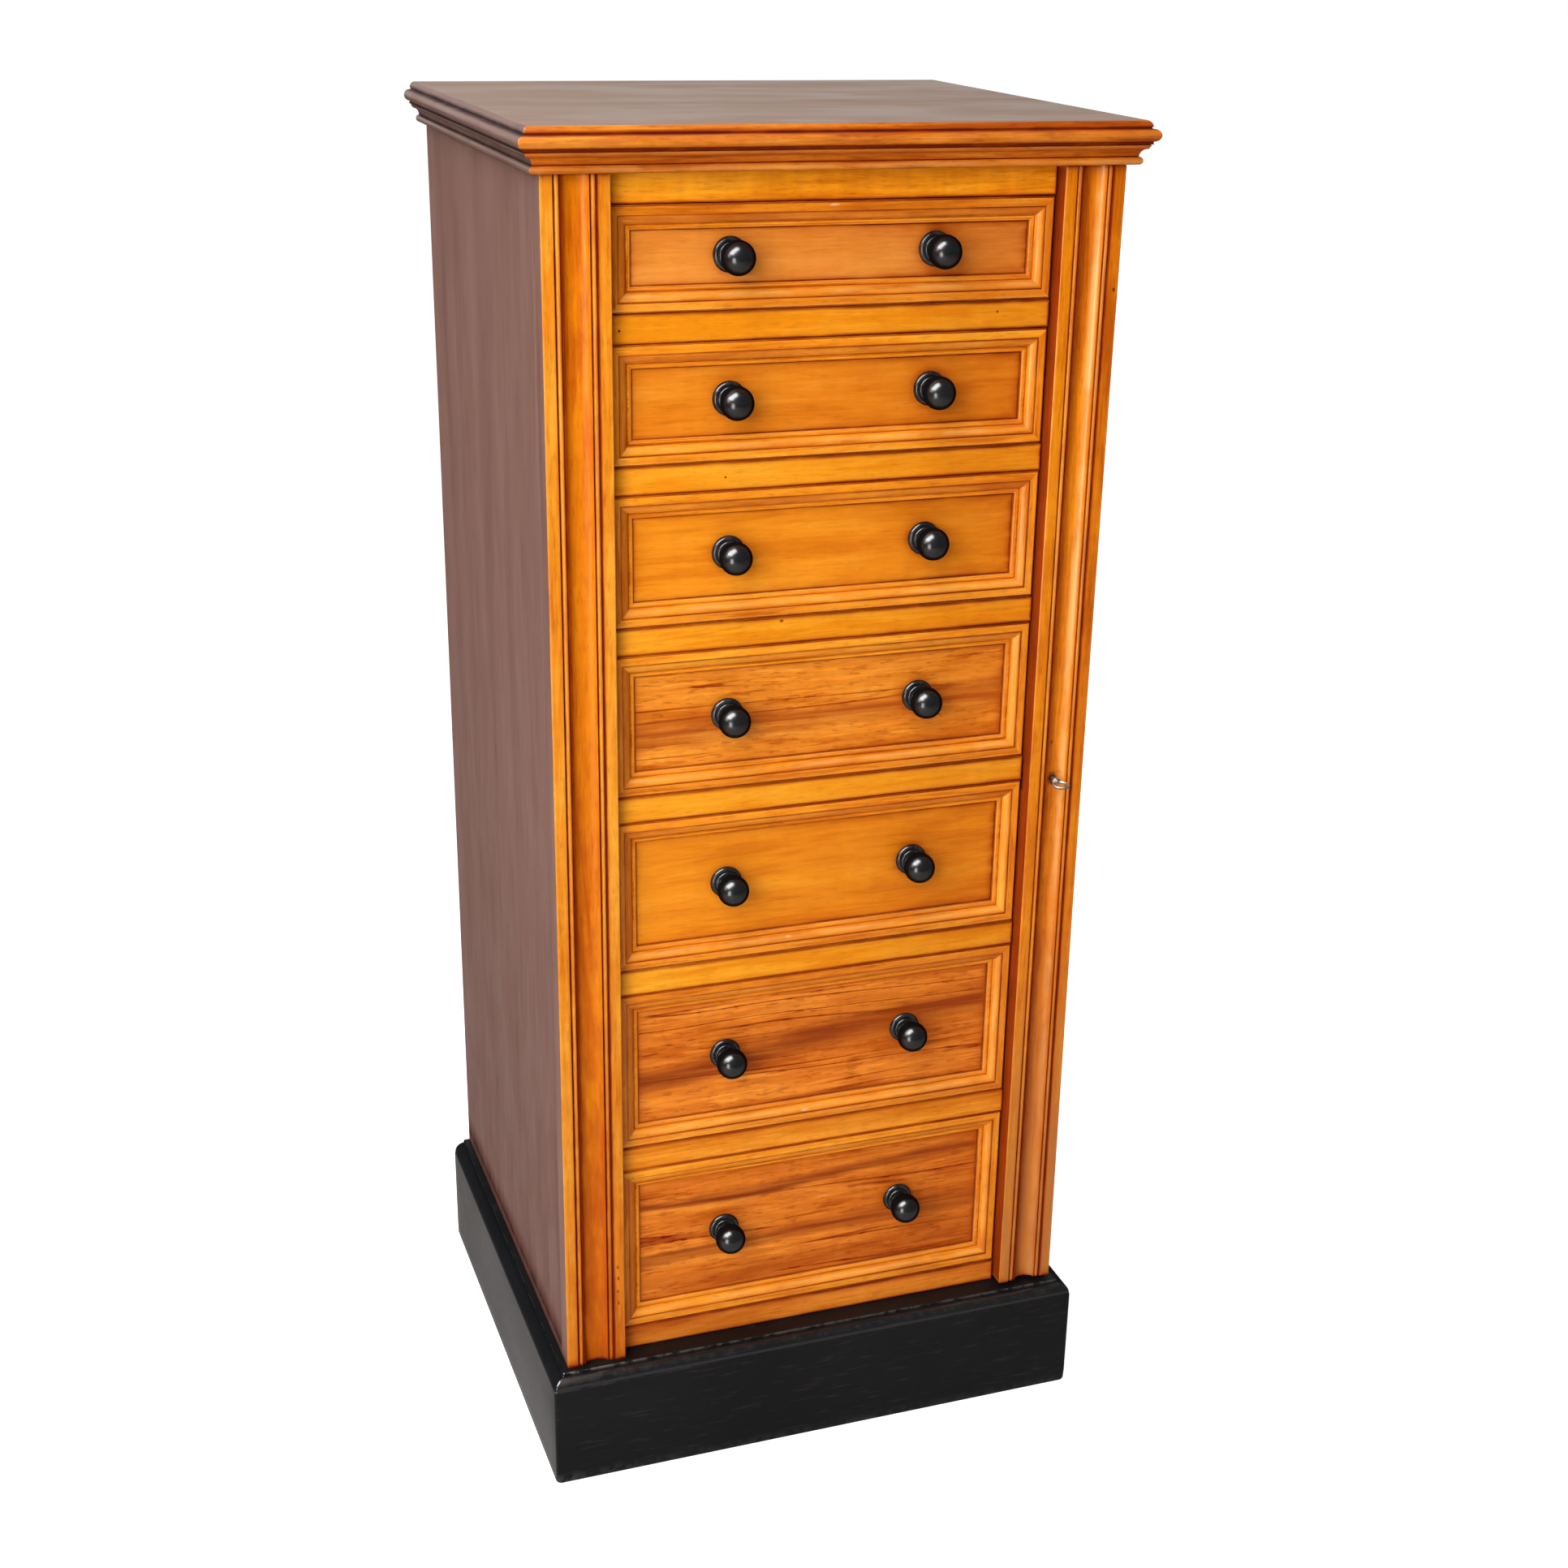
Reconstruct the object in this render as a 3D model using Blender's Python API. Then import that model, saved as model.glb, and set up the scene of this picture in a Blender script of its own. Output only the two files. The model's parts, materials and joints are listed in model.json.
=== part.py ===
"""A tall chest of seven graduated drawers with a hinged locking stile.

Metres, +Z up, front towards -Y. The origin is on the floor, under the middle of the overall box.
Every size is a named value below; what fits or seats is worked out from those values and a clearance.
"""

import math

import bmesh
import bpy
from mathutils import Matrix, Vector

# Clearances shared by the whole chest
seat_gap = 0.0003
overrun = 0.004
weld_distance = 0.00001

# Carcass
carcass_width = 0.490
carcass_depth = 0.443
side_thickness = 0.018
back_thickness = 0.008
back_recess = 0.002
bottom_board_thickness = 0.022
frieze_height = 0.0411
frieze_thickness = 0.020
top_thickness = 0.0185
top_back_set_in = 0.003

# Drawers: the frame of moulding that shows on each front grows step by step downwards
drawer_count = 7
first_drawer_height = 0.080
drawer_height_step = 0.014
drawer_gap = 0.0022
rail_height = 0.0225
rail_depth = 0.050
drawer_travel = 0.320

# Pilaster and locking stile, which stand proud of the rails between them
pilaster_width = 0.0553
pilaster_proud = 0.014
pilaster_thickness = 0.022
stile_side_clearance = 0.0013
stile_top_clearance = 0.0012
stile_foot_clearance = 0.0035
flat_width = 0.0102
quirk_width = 0.0012
quirk_depth = 0.0026
reed_width = 0.0041
reed_sink = 0.0005
hollow_depth = 0.0062

# Post, runners and guides behind them
post_lap = 0.002
lining_thickness = 0.006
runner_height = 0.013
guide_height = 0.018
tenon_length = 0.014
tenon_height = 0.012
tenon_set_back = 0.014
tenon_rear_shoulder = 0.008

# Plinth
plinth_height = 0.115
plinth_overhang = 0.017
plinth_wall = 0.042
plinth_moulding_height = 0.0115
plinth_top_overhang = 0.0065
plinth_step = 0.0030
plinth_quirk = 0.0008

# Edge of the top board, from its upper arris down
top_arris_overhang = 0.0100
top_slope_height = 0.0050
top_slope_overhang = 0.0145
top_quirk_height = 0.0016
top_nose_overhang = 0.0200
top_nose_height = 0.0098
top_underside_overhang = 0.0160

# Moulding under the top
cornice_height = 0.0162
cornice_fillet_overhang = 0.0142
cornice_fillet_height = 0.0036
cornice_fillet_slope = 0.0018
cornice_cove_overhang = 0.0070
cornice_bead_height = 0.0062
cornice_bead_overhang = 0.0098

# Drawer fronts and boxes
front_thickness = 0.0195
front_top_clearance = 0.0012
box_side_clearance = 0.0012
moulding_end_margin = 0.0005
moulding_rise = 0.0087
moulding_ease = 0.0010
moulding_fillet_width = 0.0064
moulding_step = 0.0009
moulding_ovolo_width = 0.0080
moulding_quirk_width = 0.0006
moulding_bead_height = 0.0030
moulding_bead_width = 0.0036
box_side_thickness = 0.010
box_back_thickness = 0.009
box_top_drop = 0.004
box_back_drop = 0.006
box_rear_clearance = 0.010
bottom_thickness = 0.006
bottom_height = 0.008
groove_depth = 0.005

# Dovetails between drawer fronts and sides
front_lap = 0.006
tail_pitch = 0.030
tail_pin_width = 0.008
tail_slope_share = 0.16
lower_half_pin = 0.0175
upper_half_pin = 0.006

# Turned knobs
knob_spacing = 0.175
knob_height_share = 0.512
knob_ball_radius = 0.0138
knob_flange_radius = 0.0143
knob_flange_thickness = 0.0036
knob_ring_radius = 0.0106
knob_ring_height = 0.0022
knob_neck_radius = 0.0066
knob_neck_reach = 0.0072
knob_ball_centre = 0.0217
knob_tenon_radius = 0.0045
knob_tenon_length = 0.0180
knob_hole_clearance = 0.0003
knob_segments = 14

# Butt hinges of the locking stile
hinge_height = 0.065
hinge_lower_share = 0.14
hinge_upper_share = 0.86
leaf_thickness = 0.0016
leaf_width = 0.015
knuckle_radius = 0.0032
knuckle_count = 5
hinge_pin_radius = 0.0013
hinge_bore_radius = 0.0017
hinge_segments = 12

# Lock, bolt and key
lock_rail_number = 4
lock_case_width = 0.040
lock_case_thickness = 0.0067
lock_case_above = 0.0205
lock_case_below = 0.0115
lock_case_floor = 0.0012
bolt_height = 0.007
bolt_thickness = 0.004
bolt_length = 0.031
bolt_travel = 0.006
bolt_front_wall = 0.0015
bolt_clearance = 0.0003
bolt_ledge = 0.0004
key_inward_offset = 0.0016
mortise_clearance = 0.0008
key_bit_radius = 0.0056
key_bit_thickness = 0.0020
key_bit_length = 0.0038
key_chamber_radius = 0.0060
key_shank_radius = 0.0026
key_hole_radius = 0.0031
key_collar_radius = 0.0036
key_collar_width = 0.0024
key_bow_stand_off = 0.0135
key_bow_major_radius = 0.0066
key_bow_minor_radius = 0.0016
key_bow_height_share = 0.82
key_segments = 12

# Planes and edges that several pieces share
key_reach = key_bow_stand_off + key_bow_major_radius * key_bow_height_share + key_bow_minor_radius
face_y = (key_reach - carcass_depth) / 2
rear_y = face_y + carcass_depth
rail_y = face_y + pilaster_proud
post_y = face_y + pilaster_thickness + seat_gap
back_panel_y = rear_y - back_recess - back_thickness
runners_y = rail_y + rail_depth + seat_gap
tenon_y = (rail_y + tenon_set_back, rail_y + rail_depth - tenon_rear_shoulder)
field_y = rail_y + moulding_rise
front_back_y = field_y + front_thickness
box_rear_y = back_panel_y - box_rear_clearance
half_width = carcass_width / 2
opening_half = half_width - pilaster_width
stile_inner_x = opening_half + stile_side_clearance
inner_half = half_width - side_thickness
box_half = opening_half - box_side_clearance
box_inner_half = box_half - box_side_thickness
carcass_z = plinth_height + seat_gap
opening_bottom_z = carcass_z + bottom_board_thickness


def drawer_height(number):
    """Height of the moulding frame of a drawer, counted from the top."""
    return first_drawer_height + drawer_height_step * (number - 1)


def opening_height(number):
    return drawer_height(number) + 2 * drawer_gap


def opening_bottom(number):
    """Level of the rail or board that a drawer runs over."""
    below = range(number + 1, drawer_count + 1)
    return opening_bottom_z + sum(opening_height(lower) + rail_height for lower in below)


frieze_z = opening_bottom(1) + opening_height(1)
carcass_top_z = frieze_z + frieze_height
cornice_z = carcass_top_z - cornice_height
top_z = carcass_top_z + seat_gap
stile_foot_z = plinth_height + stile_foot_clearance
stile_head_z = cornice_z - stile_top_clearance
stile_height = stile_head_z - stile_foot_z
lock_rail_z = opening_bottom(lock_rail_number)
bolt_z = lock_rail_z - (rail_height + bolt_height) / 2
key_z = bolt_z - bolt_clearance - bolt_ledge - key_chamber_radius
key_x = (stile_inner_x + half_width) / 2 - key_inward_offset
stile_back_y = face_y + pilaster_thickness
case_back_y = stile_back_y - seat_gap
case_front_y = case_back_y - lock_case_thickness
bolt_y = case_front_y + bolt_front_wall


# Helpers

def clear_scene():
    for old in list(bpy.data.objects):
        bpy.data.objects.remove(old, do_unlink=True)


def make_material(name, colour, roughness, metallic=0.0):
    material = bpy.data.materials.new(name)
    material.use_nodes = True
    shader = material.node_tree.nodes["Principled BSDF"]
    shader.inputs["Base Color"].default_value = (*colour, 1.0)
    shader.inputs["Roughness"].default_value = roughness
    shader.inputs["Metallic"].default_value = metallic
    material.diffuse_color = (*colour, 1.0)
    return material


def finish_object(name, mesh_builder, material, smooth_degrees=None):
    """Turns a bmesh into a named object with its faces pointing out."""
    bmesh.ops.recalc_face_normals(mesh_builder, faces=mesh_builder.faces)
    mesh = bpy.data.meshes.new(name)
    mesh_builder.to_mesh(mesh)
    mesh_builder.free()
    if smooth_degrees is not None:
        mesh.shade_smooth()
        mesh.set_sharp_from_angle(angle=math.radians(smooth_degrees))
    thing = bpy.data.objects.new(name, mesh)
    if material is not None:
        mesh.materials.append(material)
    bpy.context.scene.collection.objects.link(thing)
    return thing


def board(name, low, high, material=None):
    """A rectangular board between two corners."""
    low, high = Vector(low), Vector(high)
    builder = bmesh.new()
    bmesh.ops.create_cube(builder, size=1.0)
    place = Matrix.Translation((low + high) / 2) @ Matrix.Diagonal((*(high - low), 1.0))
    bmesh.ops.transform(builder, matrix=place, verts=builder.verts)
    return finish_object(name, builder, material)


def prism(name, outline, axis, start, end, material=None, smooth_degrees=None):
    """An outline drawn square to an axis and extruded along it from start to end."""
    builder = bmesh.new()
    lift = {"X": lambda u, v: (start, u, v), "Y": lambda u, v: (u, start, v), "Z": lambda u, v: (u, v, start)}
    face = builder.faces.new([builder.verts.new(lift[axis](u, v)) for u, v in outline])
    grown = bmesh.ops.extrude_face_region(builder, geom=[face])
    moved = [item for item in grown["geom"] if isinstance(item, bmesh.types.BMVert)]
    shift = Vector([end - start if letter == axis else 0 for letter in "XYZ"])
    bmesh.ops.translate(builder, vec=shift, verts=moved)
    return finish_object(name, builder, material, smooth_degrees)


def loft(name, rings, material=None, loop=False, smooth_degrees=None):
    """Bridges closed rings of points in turn; the ends are capped unless the rings close on themselves."""
    builder = bmesh.new()
    rings = [[builder.verts.new(point) for point in ring] for ring in rings]
    pairs = list(zip(rings, rings[1:] + rings[:1])) if loop else list(zip(rings, rings[1:]))
    for ring, following in pairs:
        for here, there in zip(range(len(ring)), [*range(1, len(ring)), 0]):
            builder.faces.new((ring[here], ring[there], following[there], following[here]))
    if not loop:
        builder.faces.new(rings[0])
        builder.faces.new(rings[-1])
    return finish_object(name, builder, material, smooth_degrees)


def ring_x(x, y_range, z_range):
    (y_low, y_high), (z_low, z_high) = y_range, z_range
    return [(x, y_low, z_low), (x, y_high, z_low), (x, y_high, z_high), (x, y_low, z_high)]


def ring_y(y, half, z_low, z_high):
    return [(-half, y, z_low), (half, y, z_low), (half, y, z_high), (-half, y, z_high)]


def ring_z(z, half, y_low, y_high):
    return [(-half, y_low, z), (half, y_low, z), (half, y_high, z), (-half, y_high, z)]


def turned(name, profile, centre, segments, material=None, closed=False):
    """Spins a profile of (radius, distance towards the front) about an axis along Y through a centre."""
    builder = bmesh.new()
    start = Vector(centre)
    points = [builder.verts.new(start + Vector((radius, -reach, 0))) for radius, reach in profile]
    ends = points[1:] + points[:1] if closed else points[1:]
    edges = [builder.edges.new(pair) for pair in zip(points, ends)]
    bmesh.ops.spin(builder, geom=points + edges, cent=start, axis=(0, 1, 0), angle=2 * math.pi,
                   steps=segments, use_duplicate=False)
    bmesh.ops.remove_doubles(builder, verts=builder.verts, dist=weld_distance)
    return finish_object(name, builder, material, smooth_degrees=35)


def rod(name, axis_point, radius, low, high, axis, segments, material=None):
    """A straight round rod along an axis letter, between two levels."""
    step = 2 * math.pi / segments
    angles = [step * (index + 0.5) for index in range(segments)]
    u, v = axis_point
    outline = [(u + radius * math.cos(angle), v + radius * math.sin(angle)) for angle in angles]
    return prism(name, outline, axis, low, high, material, smooth_degrees=35)


def arc(centre, radii, start_degrees, end_degrees, steps):
    """Points on an ellipse's arc, both ends included."""
    (u, v), (u_radius, v_radius) = centre, radii
    angles = [math.radians(start_degrees + (end_degrees - start_degrees) * i / steps) for i in range(steps + 1)]
    return [(u + u_radius * math.cos(angle), v + v_radius * math.sin(angle)) for angle in angles]


def combine(target, tool, operation):
    """Adds an exact Boolean modifier; the tool stays in the file as a hidden guide."""
    modifier = target.modifiers.new(f"{operation.lower()} {tool.name}", "BOOLEAN")
    modifier.operation = operation
    modifier.solver = "EXACT"
    modifier.object = tool
    tool.hide_render = True
    tool.display_type = "WIRE"


def cut(target, tool):
    combine(target, tool, "DIFFERENCE")


def join(target, tool):
    combine(target, tool, "UNION")


def hang_on(things, pivot_name, location):
    """Parents things to an empty on their joint's axis and leaves them where they are."""
    pivot = bpy.data.objects.new(pivot_name, None)
    pivot.location = location
    bpy.context.scene.collection.objects.link(pivot)
    for thing in things:
        thing.parent = pivot
        thing.matrix_parent_inverse = Matrix.Translation(location).inverted()
    return pivot


def mirrored(value, side):
    """An X place on the left (side -1) or right (side 1) of the middle."""
    return value * side


# Outlines and mouldings

def pilaster_outline(left_x, right_x):
    """Plan of the moulded face: flat, reed, wide hollow, reed, flat, parted by quirks."""
    quirk_floor = face_y + quirk_depth
    reed_top = face_y + reed_sink

    def flank(outer_x, side):
        """From the outer arris in to the edge of the hollow."""
        flat_x = outer_x + side * flat_width
        reed_x = flat_x + side * quirk_width
        end_x = reed_x + side * reed_width
        middle_x = (reed_x + end_x) / 2
        half_reed = reed_width / 2
        rise = quirk_floor - reed_top
        reed = [(middle_x - side * half_reed * math.cos(angle), quirk_floor - rise * math.sin(angle))
                for angle in (math.pi / 4, math.pi / 2, 3 * math.pi / 4)]
        return [(outer_x, face_y), (flat_x, face_y), (flat_x, quirk_floor), (reed_x, quirk_floor), *reed,
                (end_x, quirk_floor), (end_x + side * quirk_width, quirk_floor), (end_x + side * quirk_width, face_y)]

    left, right = flank(left_x, 1), flank(right_x, -1)
    hollow_left, hollow_right = left[-1][0], right[-1][0]
    centre = ((hollow_left + hollow_right) / 2, face_y)
    hollow = arc(centre, ((hollow_right - hollow_left) / 2, hollow_depth), 180, 0, 8)[1:-1]
    return [*left, *hollow, *reversed(right), (right_x, stile_back_y), (left_x, stile_back_y)]


def front_moulding():
    """The drawer moulding as (distance in from its outer edge, height over the field)."""
    ovolo_top = moulding_rise - moulding_step
    bead_start = moulding_fillet_width + moulding_ovolo_width + moulding_quirk_width
    ovolo_foot = moulding_bead_height - moulding_step
    ovolo = arc((moulding_fillet_width, ovolo_foot), (moulding_ovolo_width, ovolo_top - ovolo_foot), 90, 0, 4)
    bead_end = bead_start + moulding_bead_width
    return [(0, moulding_rise - moulding_ease), (moulding_ease, moulding_rise), (moulding_fillet_width, moulding_rise),
            *ovolo, (bead_start, moulding_bead_height), (bead_end - moulding_ease, moulding_bead_height),
            (bead_end, 0)]


def tail_places(number):
    """Centres and half width of the tails up one corner of a drawer."""
    low = opening_bottom(number) + seat_gap + lower_half_pin
    high = box_top(number) - upper_half_pin
    count = max(2, round((high - low) / tail_pitch))
    width = (high - low - tail_pin_width * (count - 1)) / count
    centres = [low + width / 2 + (width + tail_pin_width) * index for index in range(count)]
    return centres, width / 2


def tail_outline(centre, half, grow):
    """One tail in Y and Z, flaring towards its tip, grown all round by a clearance."""
    root_y = front_back_y + seat_gap
    tip_y = field_y + front_lap + seat_gap
    flare = (root_y - tip_y) * tail_slope_share
    return [(tip_y - grow, centre - half - grow), (tip_y - grow, centre + half + grow),
            (root_y, centre + half - flare + grow), (root_y, centre - half + flare - grow)]


def box_top(number):
    return opening_bottom(number) + opening_height(number) - front_top_clearance - box_top_drop


def build_materials():
    return {
        "front wood": make_material("golden mahogany", (0.58, 0.23, 0.05), 0.34),
        "side wood": make_material("plain mahogany side", (0.20, 0.085, 0.065), 0.40),
        "inner wood": make_material("drawer lining pine", (0.52, 0.34, 0.17), 0.62),
        "black wood": make_material("ebonised wood", (0.012, 0.012, 0.013), 0.26),
        "brass": make_material("aged brass", (0.55, 0.40, 0.17), 0.38, 1.0),
        "steel": make_material("bright key steel", (0.62, 0.58, 0.54), 0.28, 1.0),
    }


# Carcass

def build_plinth(material):
    """Four mitred boards with a moulded upper edge, open in the middle."""
    moulding_z = plinth_height - plinth_moulding_height
    step_z = plinth_height - plinth_step
    ovolo_in = plinth_overhang - plinth_quirk
    step_overhang = plinth_top_overhang + plinth_quirk
    ovolo = arc((step_overhang, moulding_z), (ovolo_in - step_overhang, step_z - moulding_z), 0, 90, 4)
    outer = [(plinth_overhang, 0), (plinth_overhang, moulding_z - plinth_quirk), *ovolo,
             (plinth_top_overhang, step_z), (plinth_top_overhang, plinth_height)]
    rings = [ring_z(z, half_width + overhang, face_y - overhang, rear_y) for overhang, z in outer]
    inner_half_width = half_width + plinth_overhang - plinth_wall
    inner_front_y = face_y - plinth_overhang + plinth_wall
    rings += [ring_z(z, inner_half_width, inner_front_y, rear_y - plinth_wall) for z in (plinth_height, 0)]
    return loft("plinth", rings, material, loop=True)


def build_sides(material):
    """Plain sides, notched at the lower inner edge to carry the bottom board."""
    low_z, high_z = carcass_z, carcass_top_z
    made = []
    for name, side in (("side_left", -1), ("side_right", 1)):
        x_range = sorted((mirrored(half_width, side), mirrored(inner_half, side)))
        made.append(board(name, (x_range[0], post_y, low_z), (x_range[1], rear_y, high_z), material))
    return made


def build_bottom_board(material):
    """A board between the sides; its front edge stands forward between pilaster and stile as the lowest rail."""
    tongue_half = opening_half - seat_gap
    wide_half = inner_half - seat_gap
    outline = [(-tongue_half, rail_y), (tongue_half, rail_y), (tongue_half, post_y), (wide_half, post_y),
               (wide_half, back_panel_y - seat_gap), (-wide_half, back_panel_y - seat_gap), (-wide_half, post_y),
               (-tongue_half, post_y)]
    return prism("bottom_board", outline, "Z", carcass_z, opening_bottom_z, material)


def build_top(material):
    """The top board as stacked outlines, overhanging at the front and sides and flush at the back."""
    nose_top = top_z + top_thickness - top_slope_height - top_quirk_height
    nose_middle = nose_top - top_nose_height / 2
    quirk_overhang = top_slope_overhang + top_quirk_height / 2
    nose = arc((quirk_overhang, nose_middle), (top_nose_overhang - quirk_overhang, top_nose_height / 2), -90, 90, 6)
    high_z = top_z + top_thickness
    slope = arc((top_arris_overhang, high_z - top_slope_height),
                (top_slope_overhang - top_arris_overhang, top_slope_height), 0, 90, 3)
    profile = [(top_underside_overhang, top_z), *nose, (top_slope_overhang, nose_top), *slope]
    rings = [ring_z(z, half_width + overhang, face_y - overhang, rear_y - top_back_set_in) for overhang, z in profile]
    return loft("top_board", rings, material)


def build_cornice(material):
    """Cove and bead under the top, mitred round the front and both sides and open at the back."""
    fillet_z = carcass_top_z - cornice_fillet_height
    cove_foot_z = cornice_z + cornice_bead_height
    fillet_low = cornice_fillet_overhang - cornice_fillet_slope
    cove = arc((fillet_low, cove_foot_z), (fillet_low - cornice_cove_overhang, fillet_z - cove_foot_z), 90, 180, 4)
    bead_middle = cornice_z + cornice_bead_height / 2
    bead = arc((cornice_cove_overhang, bead_middle),
               (cornice_bead_overhang - cornice_cove_overhang, cornice_bead_height / 2), 90, -90, 4)
    profile = [(cornice_fillet_overhang, carcass_top_z), (fillet_low, fillet_z), *cove[1:], *bead[1:]]
    back_y = rear_y - top_back_set_in
    inner_y = rail_y - seat_gap
    inner_x = half_width + seat_gap
    rings = []
    for side, at_back in ((-1, True), (-1, False), (1, False), (1, True)):
        outer = [(mirrored(half_width + over, side), back_y if at_back else face_y - over, z) for over, z in profile]
        inner = [(mirrored(inner_x, side), back_y if at_back else inner_y, z) for z in (cornice_z, carcass_top_z)]
        rings.append(outer + inner)
    return loft("cornice_moulding", rings, material)


def build_frieze(material):
    half = opening_half - seat_gap
    return board("frieze_rail", (-half, rail_y, frieze_z), (half, rail_y + frieze_thickness, carcass_top_z), material)


def build_back(material):
    half = inner_half - seat_gap
    return board("back_panel", (-half, back_panel_y, carcass_z), (half, back_panel_y + back_thickness, carcass_top_z),
                 material)


def build_pilaster(material):
    outline = pilaster_outline(-half_width, -opening_half)
    return prism("pilaster_left", outline, "Z", carcass_z, stile_head_z + stile_top_clearance - seat_gap, material)


def rail_top(number):
    """Upper face of the rail under a drawer."""
    return opening_bottom(number)


def tenon_block(name, side, grow, tip, rail_number, material=None):
    """Room of a rail's tenon at one end, grown by a clearance; used for the mortise in the post."""
    middle_z = rail_top(rail_number) - rail_height / 2
    low_x, high_x = sorted((mirrored(opening_half - overrun, side), mirrored(opening_half + tip, side)))
    y_low, y_high = tenon_y
    half = tenon_height / 2 + grow
    return board(name, (low_x, y_low - grow, middle_z - half), (high_x, y_high + grow, middle_z + half), material)


def build_rail(number, material):
    """A drawer rail with a stub tenon at each end, as outlines along X."""
    top = rail_top(number)
    body = ((rail_y, rail_y + rail_depth), (top - rail_height, top))
    middle_z = top - rail_height / 2
    tenon = (tenon_y, (middle_z - tenon_height / 2, middle_z + tenon_height / 2))
    shoulder = opening_half - seat_gap
    tip = shoulder + tenon_length
    stations = [(-tip, tenon), (-shoulder, tenon), (-shoulder, body), (shoulder, body), (shoulder, tenon), (tip, tenon)]
    rail = loft(f"drawer_rail_{number}", [ring_x(x, *section) for x, section in stations], material)
    if number == lock_rail_number:
        cut(rail, bolt_room("rail_mortise_room", opening_half - stile_side_clearance - bolt_travel, opening_half
                            + overrun, mortise_clearance))
    return rail


def runner_outline(side):
    """Section of the lining with its runners, guides and the kicker over the first drawer."""
    outer = inner_half - seat_gap
    plate = outer - lining_thickness
    runner = box_inner_half
    guide = opening_half
    low_z, high_z = opening_bottom_z + seat_gap, carcass_top_z - seat_gap
    points = [(outer, low_z), (guide, low_z), (guide, low_z + guide_height), (plate, low_z + guide_height)]
    for number in reversed(range(1, drawer_count)):
        top = rail_top(number)
        points += [(plate, top - runner_height), (runner, top - runner_height), (runner, top), (guide, top),
                   (guide, top + guide_height), (plate, top + guide_height)]
    points += [(plate, frieze_z), (runner, frieze_z), (runner, frieze_z + runner_height),
               (plate, frieze_z + runner_height), (plate, high_z), (outer, high_z)]
    return [(mirrored(x, side), z) for x, z in points]


def build_runner_frame(name, side, material):
    """Front post and the lining with its runners, in one piece, mortised for the rails."""
    low_z, high_z = opening_bottom_z + seat_gap, carcass_top_z - seat_gap
    frame = prism(name, runner_outline(side), "Y", runners_y, back_panel_y - seat_gap, material)
    post_x = sorted((mirrored(inner_half - seat_gap, side), mirrored(opening_half, side)))
    post = board(f"{name}_post", (post_x[0], post_y, low_z), (post_x[1], runners_y + post_lap, high_z))
    join(frame, post)
    for number in range(1, drawer_count):
        cut(frame, tenon_block(f"{name}_mortise_{number}", side, seat_gap, tenon_length + seat_gap, number))
    return frame


# Locking stile, hinges, lock and key

def bolt_room(name, low_x, high_x, grow):
    """The space of the lock bolt between two X places, grown all round in Y and Z."""
    return board(name, (low_x, bolt_y - grow, bolt_z - grow),
                 (high_x, bolt_y + bolt_thickness + grow, bolt_z + bolt_height + grow))


def case_bounds(grow):
    low = Vector((stile_inner_x + seat_gap - grow, case_front_y - grow, key_z - lock_case_below - grow))
    high = Vector((stile_inner_x + seat_gap + lock_case_width + grow, case_back_y + grow,
                   key_z + lock_case_above + grow))
    return low, high


def build_lock_case(material):
    """Case with the bolt's channel, open at the stile's edge, and the round chamber that the key's bit turns in."""
    case = board("lock_case", *case_bounds(0), material)
    channel_end = stile_inner_x + seat_gap + bolt_length + bolt_clearance
    cut(case, bolt_room("bolt_channel_room", stile_inner_x - overrun, channel_end, bolt_clearance))
    cut(case, rod("key_chamber_room", (key_x, key_z), key_chamber_radius, case_front_y - overrun,
                  case_back_y - lock_case_floor, "Y", key_segments))
    return case


def build_bolt(material):
    bolt = bolt_room("lock_bolt", stile_inner_x + seat_gap, stile_inner_x + seat_gap + bolt_length, 0)
    bolt.data.materials.append(material)
    return bolt


def build_stile(material):
    """The locking stile: the pilaster's section, hollowed at the back for the lock and the hinge leaves."""
    stile = prism("locking_stile", pilaster_outline(stile_inner_x, half_width), "Z", stile_foot_z, stile_head_z,
                  material)
    low, high = case_bounds(seat_gap)
    cut(stile, board("lock_case_room", (low.x - overrun, low.y, low.z), (high.x, stile_back_y + overrun, high.z)))
    cut(stile, rod("keyhole_round", (key_x, key_z), key_hole_radius, face_y - overrun, case_front_y, "Y",
                   key_segments))
    slot_half = key_bit_thickness / 2 + seat_gap
    cut(stile, board("keyhole_slot", (key_x - slot_half, face_y - overrun, key_z - key_chamber_radius),
                     (key_x + slot_half, case_front_y, key_z)))
    for place in ("lower", "upper"):
        cut(stile, leaf_room(f"stile_{place}_leaf_room", place, moving=True))
    return stile


def key_bow_outline():
    """Centre line of the oval bow."""
    return arc((key_x, face_y - key_bow_stand_off), (key_bow_major_radius, key_bow_major_radius
               * key_bow_height_share), 0, 360, key_segments)[:-1]


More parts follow.
